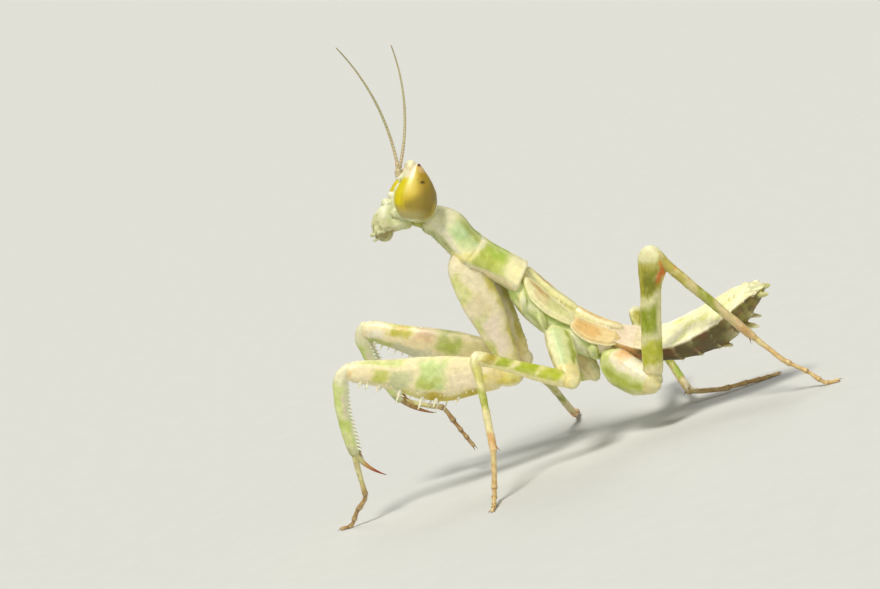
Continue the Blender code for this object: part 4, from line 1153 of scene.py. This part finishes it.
def wing_bud(pair, side, painter):
    """A crowned leaf over the side of the trunk, with a rolled rim and veins, closed underneath."""
    bed, leaf = BEDS[pair], LEAVES[pair]
    places = np.linspace(leaf[0][0], leaf[-1][0], BUD_ROWS)
    x, z, wide, deep = flow(np.column_stack([np.linspace(0, 1, len(bed)), bed]), places).T
    low, high = np.radians(flow(leaf, places)).T
    along = np.gradient(np.column_stack([x, z]), axis=0)
    ups = unit(np.column_stack([-np.abs(along[:, 1]), 0 * x, np.abs(along[:, 0])])) * deep[:, None]
    v = np.linspace(-1, 1, BUD_STEPS)
    angle = low[:, None] + (high - low)[:, None] * (v + 1) / 2
    way = ups[:, None] * np.cos(angle)[..., None]
    way = way + np.array((0, 1, 0)) * (wide[:, None] * np.sin(angle))[..., None]
    share = (places - places[0]) / (places[-1] - places[0])
    ends = np.clip(np.minimum(share, 1 - share) / 0.12, 0, 1)[:, None] ** 0.5
    swell = BUD_EDGE + BUD_CROWN * (1 - np.abs(v) ** 4) * ends + RIM_HEIGHT * bell(np.abs(v), 0.88, 0.07)
    for at, drift in VEINS:
        swell = swell + VEIN_HEIGHT * bell(v, at + drift * share[:, None], VEIN_WIDTH) * ends
    wrinkles = np.sin(share[:, None] * 60 + v * 4) * np.exp(-(v / 0.7) ** 4)
    swell = swell + WRINKLE_HEIGHT * wrinkles * ends
    centres = np.column_stack([x, 0 * x, z])[:, None]
    top = centres + way + unit(way) * swell[..., None]
    bottom = (centres + way * 0.92)[:, ::-1]
    points = np.concatenate([top, bottom], axis=1).reshape(-1, 3) * (1, SIDES[side], 1)
    points = in_trunk(points)
    s, across = np.repeat(share, 2 * BUD_STEPS), np.tile(np.concatenate([v, v[::-1]]), BUD_ROWS)
    piece(f"{pair}_wing_bud_{side}", points, ring_faces(BUD_ROWS, 2 * BUD_STEPS), CHITIN,
          [f"{pair}_wing_pad_{side}"], painter(s, across, points))


for side in SIDES:
    wing_bud("fore", side, paint_fore_bud)
    wing_bud("hind", side, paint_hind_bud)

# ---- spines and claws of the grasping legs -----------------------------------------------------
# Two rows of horn spines stand along the groove of each thigh, with three long ones by the claw's
# pit. The shank carries two close combs of slanting teeth, longer ones near its end, and a great
# hooked claw. A spine or end tooth is given as its share of the plate and its length.
OUTER_SPINES = [(0.335, 0.45), (0.47, 0.6), (0.555, 0.9), (0.69, 0.85), (0.82, 0.5), (0.885, 0.42)]
INNER_SPINES = [(0.3 + 0.045 * i, 0.3 + 0.22 * (i % 2)) for i in range(14)]
LONG_SPINES = [(0.4, 0.95), (0.45, 1.15), (0.5, 0.8)]
KNEE_TEETH = [(0.93, 0.34)]

# Each row: its spines, angle from the groove, outward lean and radius.
SPINE_ROWS = [(OUTER_SPINES, 0.5, 0.25, 0.18), (INNER_SPINES, -0.5, -0.25, 0.1),
              (LONG_SPINES, 0.0, 0.05, 0.08), (KNEE_TEETH, 0.5, 0.3, 0.22), (KNEE_TEETH, -0.5, -0.3, 0.22)]
SPINE_SLANT, SPINE_HOOK, ROOT_SINK = 0.28, 0.12, 0.1

# Combs: angle from the groove and outward lean, then how the teeth of a comb stand and grow.
COMBS = [(0.62, 0.35), (-0.62, -0.35)]
COMB_TEETH, COMB_START, COMB_LENGTH, COMB_SLANT = 17, 0.16, 0.74, 0.65
SHORTEST_TOOTH, TOOTH_GROWTH, COMB_RADIUS, COMB_SINK = 0.24, 0.2, 0.095, 0.07
END_TEETH, END_TEETH_ANGLE, END_TEETH_RADIUS = [(0.84, 0.45), (0.885, 0.6), (0.93, 0.75)], 0.4, 0.1
CLAW_LENGTH, CLAW_ROOT, CLAW_STEPS, CLAW_BEND = 2.95, 0.45, 6, 0.25
CLAW_RADII = [(0, 0.27), (0.2, 0.216), (0.5, 0.1404), (0.8, 0.0702), (1, 0.015)]


def paint_spine(s, up, out, points):
    return painted("F6F3E2", ("ECE8CC", flecks(points, 0.2)), ("B98A5A", fade(s, 0.9, 1.0)))


def tipped(base, *tips):
    """A painter for a tooth or claw whose other colours come in along it, each from place to place."""
    return lambda s, up, out, points: painted(base, *((code, fade(s, low, high)) for code, low, high in tips))


def paint_rusty_claw(s, up, out, points):
    return painted("B59A74", ("94604A", fade(s, 0.3, 0.6) * 0.8), ("8A6A50", flecks(points, 0.3) * 0.6),
                   ("4E2018", fade(s, 0.85, 1.0)))


def thorn(base, way, length, radius, painter, hook=(0, 0, 0), sides=12):
    """A horn spine, round and drawn to a point, that may curve toward the hook's direction."""
    way = unit(way)
    share = np.linspace(0, 1, 6)[:, None]
    path = base + way * length * share + np.asarray(hook) * length * share ** 2
    table = [(0, radius), (0.12, radius * 0.86), (0.5, radius * 0.5), (0.85, radius * 0.2),
             (1, radius * 0.04)]
    return rod(path, table, painter, 14, sides, first_up=np.cross(way, (0.31, 0.52, 0.8)))


def on_plate(plate, share, angle, sink=ROOT_SINK):
    """A point just under the surface of a leg plate."""
    deep, thick, offset = flow(plate.stations, np.array([share]))[0]
    centre = plate.start + (plate.end - plate.start) * share + plate.inner * offset
    return (centre + plate.inner * (deep - sink) * math.cos(angle)
            + plate.outer * (thick - sink) * math.sin(angle))


paint_tooth = tipped("F4F1E2", ("C9B48C", 0.8, 1.0))
paint_claw = tipped("CDC8A0", ("CB9A72", 0.3, 0.5), ("A34E2C", 0.5, 0.78), ("5E2418", 0.9, 1.0))
for side in SIDES:
    thigh, shank = LEGS["fore", side]["femur"], LEGS["fore", side]["tibia"]
    spines = []
    for row, angle, lean, radius in SPINE_ROWS:
        for share, length in row:
            way = thigh.inner + thigh.axis * SPINE_SLANT + thigh.outer * lean
            spines.append(thorn(on_plate(thigh, share, angle), way, length + ROOT_SINK, radius,
                                paint_spine, thigh.axis * SPINE_HOOK))
    put("thigh_spines_" + side, spines, HORN, ["fore_femur_" + side])
    teeth = []
    for angle, lean in COMBS:
        for i in range(COMB_TEETH):
            share = COMB_START + COMB_LENGTH * i / (COMB_TEETH - 1)
            way = shank.inner + shank.axis * COMB_SLANT + shank.outer * lean
            teeth.append(thorn(on_plate(shank, share, angle, COMB_SINK), way,
                               SHORTEST_TOOTH + TOOTH_GROWTH * share, COMB_RADIUS, paint_tooth))
    for share, length in END_TEETH:
        teeth.append(thorn(on_plate(shank, share, END_TEETH_ANGLE), shank.inner * 0.6 + shank.axis, length,
                           END_TEETH_RADIUS, paint_rusty_claw))
    point, way = shank.end - shank.axis * CLAW_ROOT, unit(shank.axis * 0.92 + shank.inner * 0.38)
    path = [point]
    for step in range(CLAW_STEPS):
        point = point + way * CLAW_LENGTH / CLAW_STEPS
        path.append(point)
        way = unit(way + shank.inner * CLAW_BEND)
    teeth.append(rod(path, CLAW_RADII, paint_claw if side == "left" else paint_rusty_claw, 50, 18,
                     first_up=shank.outer))
    put("shank_comb_and_claw_" + side, teeth, HORN, ["fore_tibia_" + side])

# ---- granules ----------------------------------------------------------------------------------
# Low pale warts edge the hips and thighs of the grasping legs, and a few stand along the ridge of
# the back. An edge is given by its plate, its angles round it, its count and where it runs.
EDGES = [("coxa", (0.75, -0.75, math.pi), 22, 0.02, 0.92), ("femur", (math.pi, 0.9), 26, 0.12, 0.95)]
RIDGE_WARTS = (-7.5, -7.72, -9.9, -10.1, -10.55, -12.95, -18.4, -18.65)
WART_LENGTH, WART_RADIUS, WART_SINK = 0.36, 0.12, 0.05
GRANULE_RADIUS, GRANULE_SPREAD, GRANULE_HEIGHT, GRANULE_SINK = 0.055, 0.025, 2.2, 0.02

paint_granule = flecked("F3EFD4", "E4DBA8", 0.4)
for side in SIDES:
    warts = []
    for part, angles, count, low, high in EDGES:
        plate = LEGS["fore", side][part]
        for angle in angles:
            for i in range(count):
                share = low + (high - low) * (i + 0.3 * math.sin(7 * i + 3 * angle)) / (count - 1)
                way = plate.inner * math.cos(angle) + plate.outer * math.sin(angle)
                radius = GRANULE_RADIUS + GRANULE_SPREAD * math.sin(5 * i + angle)
                warts.append(thorn(on_plate(plate, share, angle, GRANULE_SINK), way,
                                   radius * GRANULE_HEIGHT, radius, paint_granule, sides=8))
    put("granules_" + side, warts, CHITIN, ["fore_coxa_" + side, "fore_femur_" + side])
trunk_points = (skin_points - (0, 0, TRUNK_HEIGHT)) @ TRUNK_TURN
warts = []
for x in RIDGE_WARTS:
    near = trunk_points[(np.abs(trunk_points[:, 0] - x) < 0.1) & (np.abs(trunk_points[:, 1]) < 0.12)]
    foot = in_trunk(near[near[:, 2].argmax()] - (0, 0, WART_SINK))
    way = TRUNK_TURN @ (-0.3, 0.2 * math.sin(9 * x), 1)
    warts.append(thorn(foot, way, WART_LENGTH, WART_RADIUS, paint_granule, sides=10))
put("granules_of_the_back", warts, CHITIN, ["metathorax", "abdomen"])

# ---- spurs and foot claws ----------------------------------------------------------------------
# A pair of short spurs stands at the end of each walking shank, and two small brown hooks tip
# every foot, bent down to the floor where the foot stands on it.
SPUR_LENGTH, SPUR_RADIUS, SPUR_BACK, SPUR_APART = 0.5, 0.065, 0.25, 0.12
SPUR_LEAN, SPUR_SPLAY = 0.55, 0.45
HOOK_LENGTH, HOOK_RADIUS, HOOK_BACK, HOOK_APART = 0.42, 0.055, 0.22, 0.05
HOOK_RISE, HOOK_SPLAY = 0.15, 0.55

# How far a hook's root is lifted and its tip droops, on a standing foot and on a lifted one.
STANDING, LIFTED = (0.03, -0.28), (0, -0.4)

paint_hook = tipped("B07A48", ("4A2614", 0.4, 0.9))
for (pair, side), leg in LEGS.items():
    shank, way = leg["tibia"], leg["toe_way"]
    across = unit(np.cross(way, (0, 0, 1)))
    lift, droop = STANDING if POSE[pair, side][-1][1] is FLOOR else LIFTED
    hooks = []
    for turned in (1, -1):
        base = leg["toe"] + way * (TOE - HOOK_BACK) + across * turned * HOOK_APART + (0, 0, lift)
        hooks.append(thorn(base, way + across * turned * HOOK_SPLAY + (0, 0, HOOK_RISE), HOOK_LENGTH,
                           HOOK_RADIUS, paint_hook, (0, 0, droop)))
        if pair != "fore":
            base = (shank.end - shank.axis * SPUR_BACK + shank.outer * turned * SPUR_APART
                    + shank.inner * SPUR_APART)
            way_out = shank.axis + shank.inner * SPUR_LEAN + shank.outer * turned * SPUR_SPLAY
            hooks.append(thorn(base, way_out, SPUR_LENGTH, SPUR_RADIUS, paint_hook))
    put(f"{pair}_foot_hooks_{side}", hooks, HORN, [f"{pair}_tarsus_{side}"])

# ---- hairs -------------------------------------------------------------------------------------
# A thin fuzz of short stiff hairs stands all over the skin. Each is a fine three-sided spike,
# drawn thicker than a real one so that it shows.
HAIRS, HAIR_SEED = 2600, 11
SHORTEST_HAIR, LONGEST_HAIR, HAIR_RADIUS, HAIR_LEAN = 0.09, 0.24, 0.013, 0.45


def hair_points(points, normals):
    """Three root corners and the tip of each hair, and the skin vertex that each one grows from."""
    rng = np.random.default_rng(HAIR_SEED)
    chosen = rng.choice(len(points), HAIRS, replace=False)
    length = rng.uniform(SHORTEST_HAIR, LONGEST_HAIR, HAIRS)[:, None]
    way = unit(normals[chosen] + rng.normal(0, HAIR_LEAN, (HAIRS, 3)))
    base = points[chosen] - normals[chosen] * 0.02
    across = unit(np.cross(way, (0.3, 0.5, 0.81)))
    other = np.cross(way, across)
    corners = []
    for angle in (0, 2 * math.pi / 3, 4 * math.pi / 3):
        corners.append(base + (across * math.cos(angle) + other * math.sin(angle)) * HAIR_RADIUS)
    corners.append(base + way * length)
    return np.stack(corners, 1).reshape(-1, 3), np.repeat(chosen, 4)


hairs, roots = hair_points(skin_points, read(skin_mesh.vertices, "normal"))
hairs[:, 2] = np.maximum(hairs[:, 2], 0.01)
hair_faces = []
for i in range(0, len(hairs), 4):
    hair_faces += [(i, i + 1, i + 3), (i + 1, i + 2, i + 3), (i + 2, i, i + 3), (i + 2, i + 1, i)]
piece("hairs", hairs, hair_faces, HORN, SKIN_NODES,
      painted(skin_colours[roots], ("EFEBD8", np.full(len(roots), 0.45))))

# ---- floor, light and camera -------------------------------------------------------------------
# A wide sheet of matt paper under a dim even sky, a warm lamp high up as the key, and two weak
# ones. The camera looks at the animal's left side from just above the floor and is rolled, so that
# the floor rises to the right.
PAPER_DARK, PAPER_LIGHT, PAPER_CLOUD, PAPER_HALF = "CBCDCB", "D1D3D1", 2.0, 30
SKY, SKY_STRENGTH = "F1F1EC", 0.3

# Lamps: compass bearing, height, strength, spread in degrees and tint.
LAMPS = {"key": (92, 60, 2.75, 18, "FFFAEF"), "fill": (130, 15, 0.5, 60, "FFFDF7"),
         "rim": (-70, 45, 0.7, 30, "FFFDF9")}
TARGET = (0, 0, 12.9)
CAMERA_BEARING, CAMERA_RISE, CAMERA_ROLL = 108, 7, 20
CAMERA_DISTANCE, LENS, SENSOR, NEAREST = 260.7, 160, 36, 5

floor_mesh = bpy.data.meshes.new("floor")
corners = [(-1, -1), (1, -1), (1, 1), (-1, 1)]
floor_mesh.from_pydata([(x * PAPER_HALF, y * PAPER_HALF, 0) for x, y in corners], [], [(0, 1, 2, 3)])
floor = bpy.data.objects.new("floor", floor_mesh)
bpy.context.scene.collection.objects.link(floor)
paper, paper_tree, paper_shader, paper_place = new_material("pale_matt_paper", Roughness=0.9)
fibres = add(paper_tree, "ShaderNodeTexNoise", {"Scale": per_mm(PAPER_CLOUD), "Detail": 3.0},
             {"Vector": paper_place}).outputs["Fac"]
mottle = add(paper_tree, "ShaderNodeMixRGB", {"Color1": (*linear(PAPER_DARK), 1),
                                              "Color2": (*linear(PAPER_LIGHT), 1)}, {"Fac": fibres})
wire(paper_tree, paper_shader, {"Base Color": mottle.outputs["Color"]})
floor_mesh.materials.append(paper)

world = bpy.data.worlds.new("studio")
world.use_nodes = True
bpy.context.scene.world = world
world.node_tree.nodes["Background"].inputs["Color"].default_value = (*linear(SKY), 1)
world.node_tree.nodes["Background"].inputs["Strength"].default_value = SKY_STRENGTH
for name, (compass, rise, strength, spread, tint) in LAMPS.items():
    light = bpy.data.lights.new(name, "SUN")
    light.angle, light.energy, light.color = math.radians(spread), strength, linear(tint)
    lamp = bpy.data.objects.new(name, light)
    bpy.context.scene.collection.objects.link(lamp)
    lamp.rotation_euler = Vector(heading(compass, rise)).to_track_quat("Z", "Y").to_euler()

back = heading(CAMERA_BEARING, CAMERA_RISE)
level = unit(np.cross(-back, (0, 0, 1)))
upright = np.cross(level, -back)
roll = math.radians(CAMERA_ROLL)
right = math.cos(roll) * level - math.sin(roll) * upright
top = math.sin(roll) * level + math.cos(roll) * upright
camera = bpy.data.cameras.new("camera")
camera.lens, camera.sensor_width, camera.clip_start = LENS, SENSOR, NEAREST * MM
camera_object = bpy.data.objects.new("camera", camera)
bpy.context.scene.collection.objects.link(camera_object)
stand = Matrix.Translation(Vector((TARGET + SHIFT + back * CAMERA_DISTANCE) * MM))
camera_object.matrix_world = stand @ Matrix(np.column_stack([right, top, back])).to_4x4()
bpy.context.scene.camera = camera_object
bpy.context.scene.view_settings.view_transform = "Standard"
